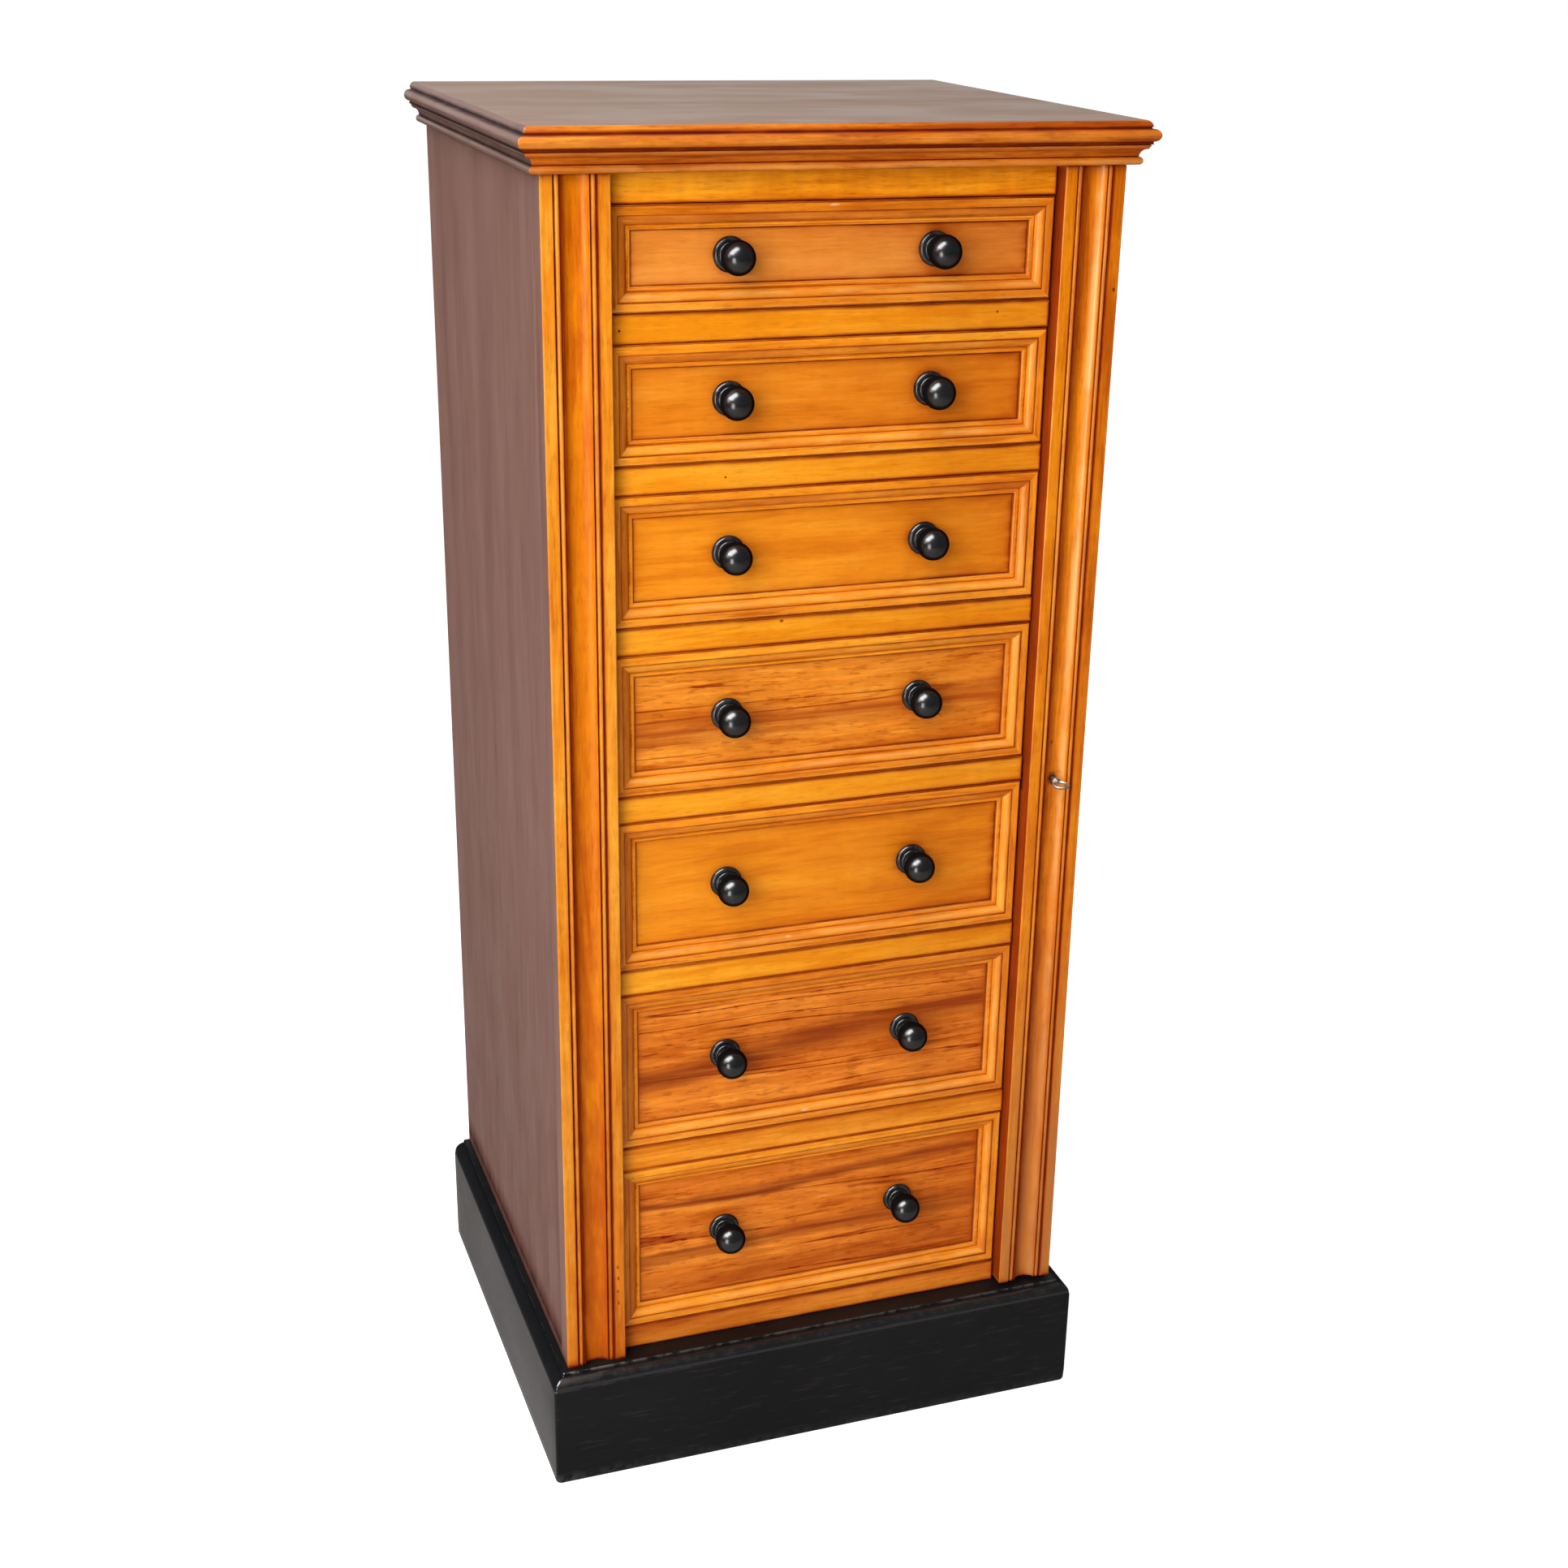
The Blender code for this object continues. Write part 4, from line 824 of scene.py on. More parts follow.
def write_grain(mesh, name):
    """Stores metres along, across and into the grain at each face corner. The shift keeps two pieces from
    matching."""
    points = np.empty(len(mesh.vertices) * 3)
    mesh.vertices.foreach_get("co", points)
    owner = np.empty(len(mesh.loops), np.int32)
    mesh.loops.foreach_get("vertex_index", owner)
    sizes = np.empty(len(mesh.polygons), np.int32)
    mesh.polygons.foreach_get("loop_total", sizes)
    way = np.empty(len(mesh.polygons), np.int32)
    mesh.attributes["way"].data.foreach_get("value", way)
    chosen = grain_ways[np.repeat(way, sizes)]
    grain = np.take_along_axis(points.reshape(-1, 3)[owner], chosen, axis=1)
    grain = grain + grain_shift * (sum(map(ord, name)) % shift_count)
    if "grain" in mesh.attributes:
        mesh.attributes.remove(mesh.attributes["grain"])
    mesh.attributes.new("grain", "FLOAT_VECTOR", "CORNER").data.foreach_set("vector", grain.ravel())


def spread_value(value, count, kind):
    """One number for each place, as foreach_set wants it."""
    return np.ascontiguousarray(np.broadcast_to(value, count), kind)


def finish_piece(name, points, faces, body, slot, finishes, way=0, finish=0, crevice=0.0, wear=0.0, nodes=(),
                 sharp=32.0):
    """Makes the mesh. way is the grain's axis and finish the material, each one number or one per face."""
    faces = [face.tolist() if isinstance(face, np.ndarray) else list(face) for face in faces]
    mesh = bpy.data.meshes.new(name)
    mesh.from_pydata(np.asarray(points, float).tolist(), [], faces)
    for label, value in (("crevice", crevice), ("wear", wear)):
        layer = mesh.attributes.new(label, "FLOAT", "POINT")
        layer.data.foreach_set("value", spread_value(value, len(points), np.float32))
    layer = mesh.attributes.new("way", "INT", "FACE")
    layer.data.foreach_set("value", spread_value(way, len(faces), np.int32))
    for material in finishes:
        mesh.materials.append(material)
    mesh.polygons.foreach_set("material_index", spread_value(finish, len(faces), np.int32))
    shell = bmesh.new()
    shell.from_mesh(mesh)
    bmesh.ops.remove_doubles(shell, verts=shell.verts, dist=1e-7)
    bmesh.ops.recalc_face_normals(shell, faces=shell.faces)
    shell.to_mesh(mesh)
    shell.free()
    write_grain(mesh, name)
    mesh.shade_smooth()
    mesh.set_sharp_from_angle(angle=math.radians(sharp))
    thing = bpy.data.objects.new(name, mesh)
    bpy.context.scene.collection.objects.link(thing)
    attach(thing, body)
    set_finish(thing, slot)
    if nodes:
        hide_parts(*nodes)
    return thing


print("grain can run", len(grain_ways), "ways")

# %% [markdown]
# ## Rectangles as rings
# Most of the chest is made of rectangles: boards, the frame of a drawer, the top, the plinth. A ring is one
# rectangle with rounded corners, and a stack of rings, each a little larger or smaller than the last, makes
# a moulding that runs round the whole rectangle with true mitres.


# %% Rectangle rings
def rectangle_rings(low_u, high_u, low_v, high_v, radius=0.0, corner_steps=0, marks=(), spread=(0, 0)):
    """Rings of points, one row per rectangle: at each corner an arc, centre + radius * (cos, sin), and along
    each side extra points at the marked distances from both corners and evenly spread between them.
    Returns u, v, the side that each stretch belongs to (0 right, 1 top, 2 left, 3 bottom) and the distance
    of each point from its nearest corner."""
    low_u, high_u, low_v, high_v, radius = [np.atleast_1d(np.asarray(value, float))[:, None] for value in
                                            (low_u, high_u, low_v, high_v, radius)]
    turn = np.linspace(0.0, math.pi / 2, corner_steps + 1)[None, :]
    centres = [(high_u - radius, low_v + radius), (high_u - radius, high_v - radius),
               (low_u + radius, high_v - radius), (low_u + radius, low_v + radius)]
    marks = np.asarray(marks, float)[None, :]
    u_parts, v_parts, sides, reach = [], [], [], []
    for corner in range(4):
        angle = turn + (corner - 1) * math.pi / 2
        u_parts.append(centres[corner][0] + radius * np.cos(angle))
        v_parts.append(centres[corner][1] + radius * np.sin(angle))
        half = (corner_steps + 1) // 2
        sides += [(corner - 1) % 4] * half + [corner] * (corner_steps + 1 - half)
        reach.append(np.zeros_like(u_parts[-1]))
        start = (u_parts[-1][:, -1:], v_parts[-1][:, -1:])
        following = centres[(corner + 1) % 4]
        first = corner * math.pi / 2
        end = (following[0] + radius * np.cos(first), following[1] + radius * np.sin(first))
        length = np.hypot(end[0] - start[0], end[1] - start[1])
        inner = marks[:, -1:] if marks.size else np.zeros((1, 1))
        shares = np.linspace(0.0, 1.0, spread[corner % 2] + 2)[None, 1:-1]
        along = np.concatenate([np.broadcast_to(marks, (len(length), marks.shape[1])),
                                inner + (length - 2 * inner) * shares, length - marks[:, ::-1]], axis=1)
        u_parts.append(start[0] + (end[0] - start[0]) * along / length)
        v_parts.append(start[1] + (end[1] - start[1]) * along / length)
        sides += [corner] * along.shape[1]
        reach.append(np.minimum(along, length - along))
    u, v, reach = np.broadcast_arrays(*[np.concatenate(parts, axis=1) for parts in (u_parts, v_parts, reach)])
    return u, v, np.array(sides), reach


def lifted(u, v, heights):
    """Points (u, v, height) of rings that each lie level at one height."""
    return np.dstack([u, v, np.broadcast_to(heights[:, None], u.shape)]).reshape(-1, 3)


sample = rectangle_rings(-1, 1, -1, 1, 0.1, 2, (0.2,), (1, 1))
print("one ring with rounded corners has", sample[0].shape[1], "points")

# %% [markdown]
# ## Boards with eased edges
# Nobody leaves a sharp edge on a board. A few strokes of the plane take it off, and the polish pools beside
# it. So a board here is a rounded rectangle carried along its length, with extra rings close to its ends,
# where the dirt changes fast.

# %% Eased boards
end_marks = (0.0006, 0.0022, 0.006)
shade_marks = (0.0006, 0.0015, 0.003, 0.0045, 0.0065, 0.009, 0.0125)
ease_steps = 4


def falloff_from(distance, reach=0.0010):
    """A value that fades with the distance from an edge: exp(-distance / reach). It serves old polish,
    painted shade and painted highlight alike.
    """
    return np.exp(-np.asarray(distance) / reach)


def board_rings(low, high, radius, dirt, stations):
    """Places along a board with the dirt, the shrinking and the extra dirt of the section there. At each end
    the section shrinks by radius * (1 - sin t) while the end moves in by radius * (1 - cos t)."""
    turn = np.linspace(0.0, math.pi / 2, ease_steps)
    inset = radius * (1 - np.sin(turn))
    step = radius * (1 - np.cos(turn))
    marks = np.array(end_marks)
    station_places, station_dirt = np.array(stations, float).reshape(-1, 2).T
    quiet, full = np.zeros(len(stations)), np.full(ease_steps, dirt)
    fading = falloff_from(marks) * dirt
    none = np.zeros(len(marks))
    unstained = np.zeros(ease_steps + len(marks))
    rings = np.column_stack([
        np.concatenate([low + step, low + radius + marks, station_places, high - radius - marks[::-1],
                        high - step[::-1]]),
        np.concatenate([full, fading, quiet, fading[::-1], full]),
        np.concatenate([inset, none, quiet, none, inset[::-1]]),
        np.concatenate([unstained, station_dirt, unstained])])
    return rings[np.argsort(rings[:, 0], kind="stable")].T


def eased_board(name, low, high, along, radius, body, slot, finishes, nodes=(), dirt=0.8, end_dirt=None,
                stations=(), shade=0.0):
    """A board whose section is a rounded rectangle, carried along one axis, with eased ends. stations are
    extra (place, dirt) pairs along the board, and shade is painted shadow that fades down from its top, as
    under a moulding."""
    low, high = np.array(low, float), np.array(high, float)
    u_axis, v_axis = [axis for axis in range(3) if axis != along]
    places, grime, shrink, extra = board_rings(low[along], high[along], radius,
                                               dirt if end_dirt is None else end_dirt, stations)
    u, v, _, distance = rectangle_rings(low[u_axis] + shrink, high[u_axis] - shrink, low[v_axis] + shrink,
                                        high[v_axis] - shrink, np.maximum(radius - shrink, radius * 0.05), 3,
                                        end_marks if shade == 0.0 else shade_marks)
    points = np.empty((*u.shape, 3))
    points[..., along], points[..., u_axis], points[..., v_axis] = places[:, None], u, v
    crevice = np.maximum(np.maximum(dirt * falloff_from(distance), grime[:, None]), extra[:, None])
    # Painted shadow, fading down from the top of the board, as under a moulding.
    crevice = np.maximum(crevice, shade * falloff_from(high[2] - points[..., 2], 0.0075))
    return finish_piece(name, points.reshape(-1, 3), capped_faces(*u.shape), body, slot, finishes, way=along,
                        crevice=crevice.ravel(), nodes=nodes)


print("dirt 0, 2 and 6 mm from an edge:", np.round(falloff_from([0.0, 0.002, 0.006]), 2))

# %% [markdown]
# ## Rails between the drawers
# Each rail is a plain board with its long edges just taken off. Polish has gathered in the gaps above and
# below it. The upper rails are the brightest wood on the chest, and the lower ones are redder. The shelf
# at the bottom shows its front edge as one more rail.

# %% Rails, frieze and bottom board
arris = 0.0007
gap = 0.0003
golden_rails = 5
lip_depth, shelf_sink, lip_step = 0.05, 0.009, 0.0001


def build_rails():
    """Six rails, the frieze, and the bottom board as a lip with its shelf behind it."""
    shoulder = opening_half - gap
    for number in range(1, 7):
        low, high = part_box(f"drawer_rail_{number}")
        finish = rail_wood if number <= golden_rails else low_rail_wood
        eased_board(f"rail_{number}_dressed", (-shoulder, rail_y, low.z), (shoulder, high.y, high.z), 0,
                    arris, "carcass", "front_wood", [finish], nodes=[f"drawer_rail_{number}"], dirt=0.6)
    # The frieze carries painted shadow from the moulding of the top.
    low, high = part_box("frieze_rail")
    eased_board("frieze_dressed", low, high, 0, arris, "carcass", "front_wood", [frieze_wood],
                nodes=["frieze_rail"], dirt=0.7, shade=0.75)
    low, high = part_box("bottom_board")
    eased_board("bottom_board_lip", (-shoulder, low.y, low.z), (shoulder, low.y + lip_depth, high.z), 0,
                arris, "carcass", "front_wood", [bottom_wood])
    eased_board("bottom_board_shelf", (low.x, low.y + shelf_sink, low.z), (high.x, high.y, high.z - lip_step),
                0, 0.0003, "carcass", "front_wood", [low_rail_wood], nodes=["bottom_board"], dirt=0.3)


build_rails()
print("rails from", round(rail_low.z, 3), "m down")

# %% [markdown]
# ## Sides
# The sides are single plain boards. Their grain runs upright. Where they meet the plinth and under the
# moulding of the top, grime and painted shade raise the crevice value.

# %% Left side
foot = side_low.z
under = cornice_low.z
# Crevice at these heights is grime and painted shade, by the plinth and under the moulding.
side_stations = [(foot + 0.004, 0.95), (foot + 0.009, 0.80), (foot + 0.018, 0.48), (foot + 0.035, 0.14),
                 (under - 0.016, 0.0), (under - 0.005, 0.25), (under - 0.001, 0.7)]


def build_side(word):
    """A side board, left or right, with grime and painted shade at the foot and at the top."""
    low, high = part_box(f"side_{word}")
    return eased_board(f"side_{word}_dressed", low, high, 2, 0.0004, "carcass", "side_wood", [flank_wood],
                       nodes=[f"side_{word}"], dirt=0.25, end_dirt=1.0, stations=side_stations)


build_side("left")
print("side", round(side_high.z - side_low.z, 3), "m tall")

# %% [markdown]
# ## Pilaster and locking stile
# Both posts have one section: a flat, a fine reed between two quirks, a wide hollow, and the same again.
# A scratch stock or a moulding plane cuts it along the whole post. Here the section is an outline in plan,
# drawn much finer than in the CAD model, and carried up the post.

# %% Section of the posts
flat_width, quirk_width, quirk_depth = 0.0102, 0.0012, 0.0026
reed_width, reed_sink, hollow_depth = 0.0041, 0.0005, 0.0062
arris_radius, quirk_slant = 0.0009, 0.0002
hollow_points = 14


def reed_part(start):
    """A bead sunk between two quirks: depth = quirk floor - rise * sin t."""
    rise = np.sin(np.linspace(0.0, math.pi, 11))
    along = start + reed_width * (1 - np.cos(np.linspace(0.0, math.pi, 11))) / 2
    depth = quirk_depth - (quirk_depth - reed_sink) * rise
    return np.column_stack([along, depth, 0.95 - 0.85 * rise ** 0.8, 0.25 * rise ** 4])


def hollow_part(start, half):
    """Half of the hollow, to its middle: distance = half * (1 - cos t), depth = hollow depth * sin t."""
    bend = np.linspace(0.0, math.pi / 2, hollow_points + 1)[1:]
    return np.column_stack([start + half * (1 - np.cos(bend)), hollow_depth * np.sin(bend),
                            0.55 * np.cos(bend) ** 3, np.zeros(hollow_points)])


def post_half_section(width):
    """Half of the moulded face, from the outer arris to the middle: distance in, depth, crevice, wear."""
    turn = np.linspace(0.0, math.pi / 2, 5)
    eased = np.column_stack([arris_radius * (1 - np.cos(turn)), arris_radius * (1 - np.sin(turn)),
                             np.zeros(5), np.full(5, 0.2)])
    flat = [(0.0022, 0.0, 0.0, 0.0), (0.0075, 0.0, 0.0, 0.0), (0.0092, 0.0, 0.15, 0.0),
            (flat_width - quirk_slant, 0.0, 0.55, 0.0)]
    outer_quirk = [(flat_width, 0.0003, 0.8, 0.0), (flat_width + quirk_slant, quirk_depth * 0.8, 1.0, 0.0),
                   (flat_width + quirk_width / 2, quirk_depth, 1.0, 0.0)]
    reed_start = flat_width + quirk_width
    second = reed_start + reed_width
    inner_quirk = [(second + quirk_width / 2, quirk_depth, 1.0, 0.0),
                   (second + quirk_width - quirk_slant, quirk_depth * 0.8, 1.0, 0.0),
                   (second + quirk_width, 0.0002, 0.8, 0.0)]
    edge = second + quirk_width + quirk_slant
    return np.concatenate([eased, flat, outer_quirk, reed_part(reed_start), inner_quirk,
                           hollow_part(edge, width / 2 - edge)])


print("half of the face has", len(post_half_section(0.055)), "points")

# %% [markdown]
# The two halves of the hollow aren't shaded in the same way. Its right flank, which faces the light, gets a
# painted highlight in the colour of rubbed wood, and its left flank gets painted shade, partly old polish.


# %% Outline of a post
def post_outline(left_x, right_x, back_y, lit_flank_highlight=0.0, hollow_dirt=0.0):
    """The whole section as x and y, with its crevice and wear, from the left back corner round the front. The
    flank of the hollow that faces the light, on the right, gets a painted highlight as wear = lit flank
    highlight * sin(pi * share)^2, and less crevice. The other flank gets painted shade, partly old polish, as
    crevice that rises towards its outer edge. Old polish lies in the hollow at least as thick as the hollow
    dirt says."""
    half = post_half_section(right_x - left_x)
    mirrored = half[::-1][1:].copy()
    # The right flank of the hollow faces the light: a painted highlight in the wear, and less crevice.
    rubbed = slice(0, hollow_points - 1)
    share = np.arange(hollow_points - 1) / (hollow_points - 2)
    mirrored[rubbed, 2] = np.maximum(0.4 * mirrored[rubbed, 2], hollow_dirt)
    mirrored[rubbed, 3] = lit_flank_highlight * np.sin(math.pi * share) ** 2
    # Painted shade, with some old polish, on the left flank of the hollow, which faces away from the light.
    thick = slice(-hollow_points, None)
    fading = 0.38 * (1 - np.linspace(0, 1, hollow_points)) ** 0.8
    half[thick, 2] = np.maximum(np.maximum(half[thick, 2], fading), hollow_dirt)
    x = np.concatenate([[left_x], left_x + half[:, 0], right_x - mirrored[:, 0], [right_x]])
    y = np.concatenate([[back_y], face_y + half[:, 1], face_y + mirrored[:, 1], [back_y]])
    crevice, wear = np.concatenate([np.zeros((1, 2)), half[:, 2:], mirrored[:, 2:], np.zeros((1, 2))]).T
    return x, y, crevice, wear


columns_in_section = len(post_outline(0, 0.055, 0.02)[0])
print("section has", columns_in_section, "points")

# %% [markdown]
# An old post isn't quite straight. The outer arris of the stile runs in a little at mid height, so the
# section is narrowed there as it goes up. Hands seldom reach the lowest part, so the wear fades below, and so
# does the painted highlight on the hollow of the stile.


# %% Carry the section up a post
def post_levels(low_z, high_z):
    """Heights of the rings of a post: close together at its ends, where the dirt changes fast."""
    ends = np.array([0.0, 0.0006, 0.003, 0.010])
    return np.concatenate([low_z + ends, np.linspace(low_z + 0.03, high_z - 0.03, 30), high_z - ends[::-1]])


def build_post(name, low, high, right_x, body, finishes, flank_face, nodes, bow=0.0, lit_flank_highlight=0.0,
               hollow_dirt=0.0):
    """Section (x, y) carried along z; bow moves the right arris in by bow * sin(pi * share of height). Below
    hand height the wear fades, and with it the painted highlight on the stile's hollow. The finishes are for
    the moulded face, the outer flank, the return towards the drawers and the hollow."""
    x, y, crevice, wear = post_outline(low.x, right_x, high.y, lit_flank_highlight, hollow_dirt)
    levels = post_levels(low.z, high.z)
    draw = bow * np.sin(math.pi * (levels - low.z) / (high.z - low.z))
    share = np.clip((x - low.x) / (right_x - low.x), 0.0, 1.0)
    points = np.empty((len(levels), len(x), 3))
    points[..., 0] = x[None, :] - draw[:, None] * share[None, :] ** 2
    points[..., 1] = y[None, :]
    points[..., 2] = levels[:, None]
    ends = np.minimum(levels - low.z, high.z - levels)
    # This crevice includes the painted shade on one flank of the hollow.
    dirt = np.maximum(crevice[None, :], 0.8 * falloff_from(ends, 0.0025)[:, None])
    fade = 0.2 + 0.8 * np.clip((levels - 0.30) / 0.45, 0.0, 1.0)
    rows, columns = len(levels), len(x)
    stretch = np.tile(np.arange(columns), rows - 1)
    return_face = columns - 2 - flank_face
    finish = np.where(stretch == flank_face, 1, np.where(stretch == return_face, 2, 0))
    finish[np.abs(stretch - (columns - 2) / 2) < hollow_points - 1] = 3
    return finish_piece(name, points.reshape(-1, 3), capped_faces(rows, columns), body, "front_wood",
                        finishes, way=2, finish=np.concatenate([finish, [0, 0]]), crevice=dirt.ravel(),
                        wear=(0.8 * fade[:, None] * wear[None, :]).ravel(), nodes=nodes)


left_post = build_post("pilaster_left_dressed", pilaster_low, pilaster_high, -opening_half, "carcass",
                       [post_wood, flank_wood, return_polish_and_shade, hollow_wood], 0, ["pilaster_left"],
                       lit_flank_highlight=0.05, hollow_dirt=0.22)
print("pilaster", len(left_post.data.polygons), "faces")

# %% [markdown]
# ## Cutting recesses
# The locking stile is hollowed at the back for its lock and hinge leaves, and pierced for the key. The
# right side has a recess for each hinge leaf, and the fourth rail a mortise for the bolt. Joiners cut
# these after the board is shaped, and so does this step: plain cutters are taken away from the piece.


# %% Cutters
def cutter_box(low, high):
    """A plain closed box to cut with."""
    low, high = np.array(low, float), np.array(high, float)
    u, v, _, _ = rectangle_rings([low[0]] * 2, [high[0]] * 2, [low[1]] * 2, [high[1]] * 2)
    return lifted(u, v, np.array([low[2], high[2]])), capped_faces(2, 4)


def cutter_rod(centre, radius, low_y, high_y, steps=32):
    """A round rod along y: centre + radius * (cos, sin)."""
    turn = np.linspace(0.0, 2 * math.pi, steps, endpoint=False)
    ring = np.column_stack([centre[0] + radius * np.cos(turn), np.zeros(steps),
                            centre[1] + radius * np.sin(turn)])
    return np.concatenate([ring + (0, low_y, 0), ring + (0, high_y, 0)]), capped_faces(2, steps)


def carve(piece, cutters, way):
    """Takes each cutter away from the piece and leaves a plain mesh."""
    tools = []
    for index, (points, faces) in enumerate(cutters):
        tool = finish_piece(f"cutter_{index}", points, faces, piece["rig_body"], piece["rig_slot"],
                            list(piece.data.materials), way=way, crevice=0.5)
        tools.append(tool)
        modifier = piece.modifiers.new(f"cut {index}", "BOOLEAN")
        modifier.operation = "DIFFERENCE"
        modifier.solver = "EXACT"
        modifier.object = tool
    bpy.context.view_layer.update()
    graph = bpy.context.evaluated_depsgraph_get()
    carved = bpy.data.meshes.new_from_object(piece.evaluated_get(graph))
    piece.modifiers.clear()
    piece.data = carved
    for tool in tools:
        bpy.data.objects.remove(tool, do_unlink=True)
    write_grain(carved, piece.name)
    carved.set_sharp_from_angle(angle=math.radians(32))


print("a cutter box has", len(cutter_box((0, 0, 0), (1, 1, 1))[1]), "faces")

# %% [markdown]
# The cutters reach a few millimetres past the face that they enter, so that no thin skin is left there.
# The hinge leaves, the lock and the bolt give the rooms their sizes.

# %% Locking stile
past = 0.004
case_low, case_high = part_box("lock_case")
bolt_low, bolt_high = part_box("lock_bolt")
leaf_inner_x = half_width - 0.015
leaf_thickness = 0.0016
stile_bow = 0.0018
keyhole_radius, slot_half, slot_length = 0.0031, 0.0013, 0.0060


def leaf_rooms(kind, front, back):
    """Room for the two hinge leaves of one kind, from a front to a back plane."""
    boxes = [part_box(f"hinge_{place}_{kind}_leaf") for place in ("lower", "upper")]
    return [cutter_box((leaf_inner_x - gap, front, low.z - gap), (half_width + past, back, high.z + gap))
            for low, high in boxes]


# The stile gets a strong painted highlight on the lit flank of its hollow.
stile = build_post("locking_stile_dressed", stile_low, stile_high, stile_high.x, "locking_stile",
                   [stile_wood, flank_wood, return_polish_and_shade, stile_wood], columns_in_section - 2,
                   ["locking_stile"], bow=stile_bow, lit_flank_highlight=0.9)
lock_room = cutter_box((stile_low.x - past, case_low.y - gap, case_low.z - gap),
                       (case_high.x + gap, stile_high.y + past, case_high.z + gap))
keyhole = cutter_rod((key_x, key_z), keyhole_radius, face_y - past, case_low.y)
key_slot = cutter_box((key_x - slot_half, face_y - past, key_z - slot_length),
                      (key_x + slot_half, case_low.y, key_z))
carve(stile, [lock_room, keyhole, key_slot,
              *leaf_rooms("moving", stile_high.y - leaf_thickness - gap, stile_high.y + past)], 2)
print("stile", len(stile.data.polygons), "faces")

# %% [markdown]
# The right side is the same board as the left one, with a shallow recess for each fixed hinge leaf. The
# mortise in the fourth rail is a little longer than the bolt's throw, so that the bolt never strikes wood.

# %% Right side and fourth rail
right_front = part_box("side_right")[0].y
right_side = build_side("right")
carve(right_side, leaf_rooms("fixed", right_front - past, right_front + leaf_thickness + gap), 2)
bolt_reach = 0.006
bolt_play, bolt_end_play = 0.0008, 0.0013
mortise_end = bolt_low.x - bolt_reach - bolt_end_play
mortise = cutter_box((mortise_end, bolt_low.y - bolt_play, bolt_low.z - bolt_play),
                     (opening_half + past, bolt_high.y + bolt_play, bolt_high.z + bolt_play))
carve(bpy.data.objects["rail_4_dressed"], [mortise], 0)
print("right side", len(right_side.data.polygons), "faces")

# %% [markdown]
# ## Top board
# The edge of the top is a rounded slope, a dark quirk and a full nose, run round the front and both ends
# and left square at the back. It is a stack of rings: each ring is the carcass outline pushed out by the
# overhang of the moulding at that height.


# %% Profile of the top
def arc_points(centre, radii, start, end, steps):
    """Points on an ellipse: centre + radii * (cos, sin), between two angles in degrees."""
    turn = np.radians(np.linspace(start, end, steps + 1))
    return np.column_stack([centre[0] + radii[0] * np.cos(turn), centre[1] + radii[1] * np.sin(turn)])


def shaded(points, crevice, wear=0.0):
    """Adds crevice and wear columns to profile points; each is one number or one per point."""
    count = len(points)
    return np.column_stack([points, np.broadcast_to(crevice, count), np.broadcast_to(wear, count)])


def top_profile():
    """Overhang, height, crevice and wear, from the underside out and up to the flat."""
    bottom, top = top_low.z, top_high.z
    slope_high, quirk_high, nose_high = 0.0050, 0.0016, 0.0098
    slope_foot = top - slope_high
    nose_top = slope_foot - quirk_high
    nose_steps, slope_steps = 14, 8
    nose = arc_points((0.0153, nose_top - nose_high / 2), (0.0047, nose_high / 2), -90, 90, nose_steps)
    nose_angle = np.linspace(-90, 90, nose_steps + 1)
    # The nose darkens towards its underside, which is painted shade, and towards the quirk, which is old wax.
    nose_shade_and_wax = np.clip((np.abs(nose_angle) - 38) / 45, 0, 1) * 0.95
    slope = arc_points((0.0100, slope_foot), (0.0045, slope_high), 0, 90, slope_steps)
    share = np.linspace(0, 1, slope_steps + 1)
    quirk = [(0.0142, nose_top + 0.0001), (0.0137, nose_top + 0.0006), (0.0138, slope_foot - 0.0002)]
    return np.concatenate([
        shaded([(0.0040, bottom), (0.0160, bottom), (0.0152, bottom + 0.0006)], (0.6, 1.0, 1.0)),
        shaded(nose, nose_shade_and_wax, 0.16 * np.exp(-((nose_angle - 10) / 45) ** 2)),
        shaded(quirk, 1.0),
        shaded(slope, np.clip(1 - share * 2.5, 0, 1), 0.35 * share ** 3),
        shaded([(0.0085, top), (0.0040, top), (-0.0100, top)], 0.0)])


print("top profile", len(top_profile()), "points")

# %% [markdown]
# The back edge of every ring lies in one plane, so the moulding ends square there. Each stretch of a ring
# belongs to one side of the board, which decides its wood and the way of its grain.

# %% Top board
flat_rows = 4
top_corner = 0.0012


def build_top():
    """The rings of the top, with a golden front, dusky ends and a tawny flat."""
    profile = top_profile()
    over = profile[:, 0]
    rear = np.full(len(over), top_high.y)
    u, v, sides, _ = rectangle_rings(-half_width - over, half_width + over, face_y - over, rear, top_corner,
                                     4, (), (10, 16))
    rows, columns = u.shape
    member = np.tile(sides, rows - 1)
    flat = np.repeat(np.arange(rows - 1), columns) >= rows - flat_rows
    finish = np.where(flat, 1, np.where(member == 3, 0, 2))
    way = np.where(flat | (member % 2 == 1), 0, 1)
    return finish_piece("top_board_dressed", lifted(u, v, profile[:, 1]), capped_faces(rows, columns),
                        "carcass", "side_wood", [edge_wood, top_wood, dusky_wood],
                        way=np.concatenate([way, [0, 0]]),
                        finish=np.concatenate([finish, [1, 1]]), crevice=np.repeat(profile[:, 2], columns),
                        wear=np.repeat(profile[:, 3], columns), nodes=["top_board"])


top_board = build_top()
print("top board", len(top_board.data.polygons), "faces")

# %% [markdown]
# ## Moulding under the top
# Three lengths of moulding are mitred round the carcass and planted on: a small sloped fillet, a cove and a
# bead. The path is a U, open at the back. At each front corner the path turns through a quarter circle of
# one millimetre, which is the way a sanded mitre looks.


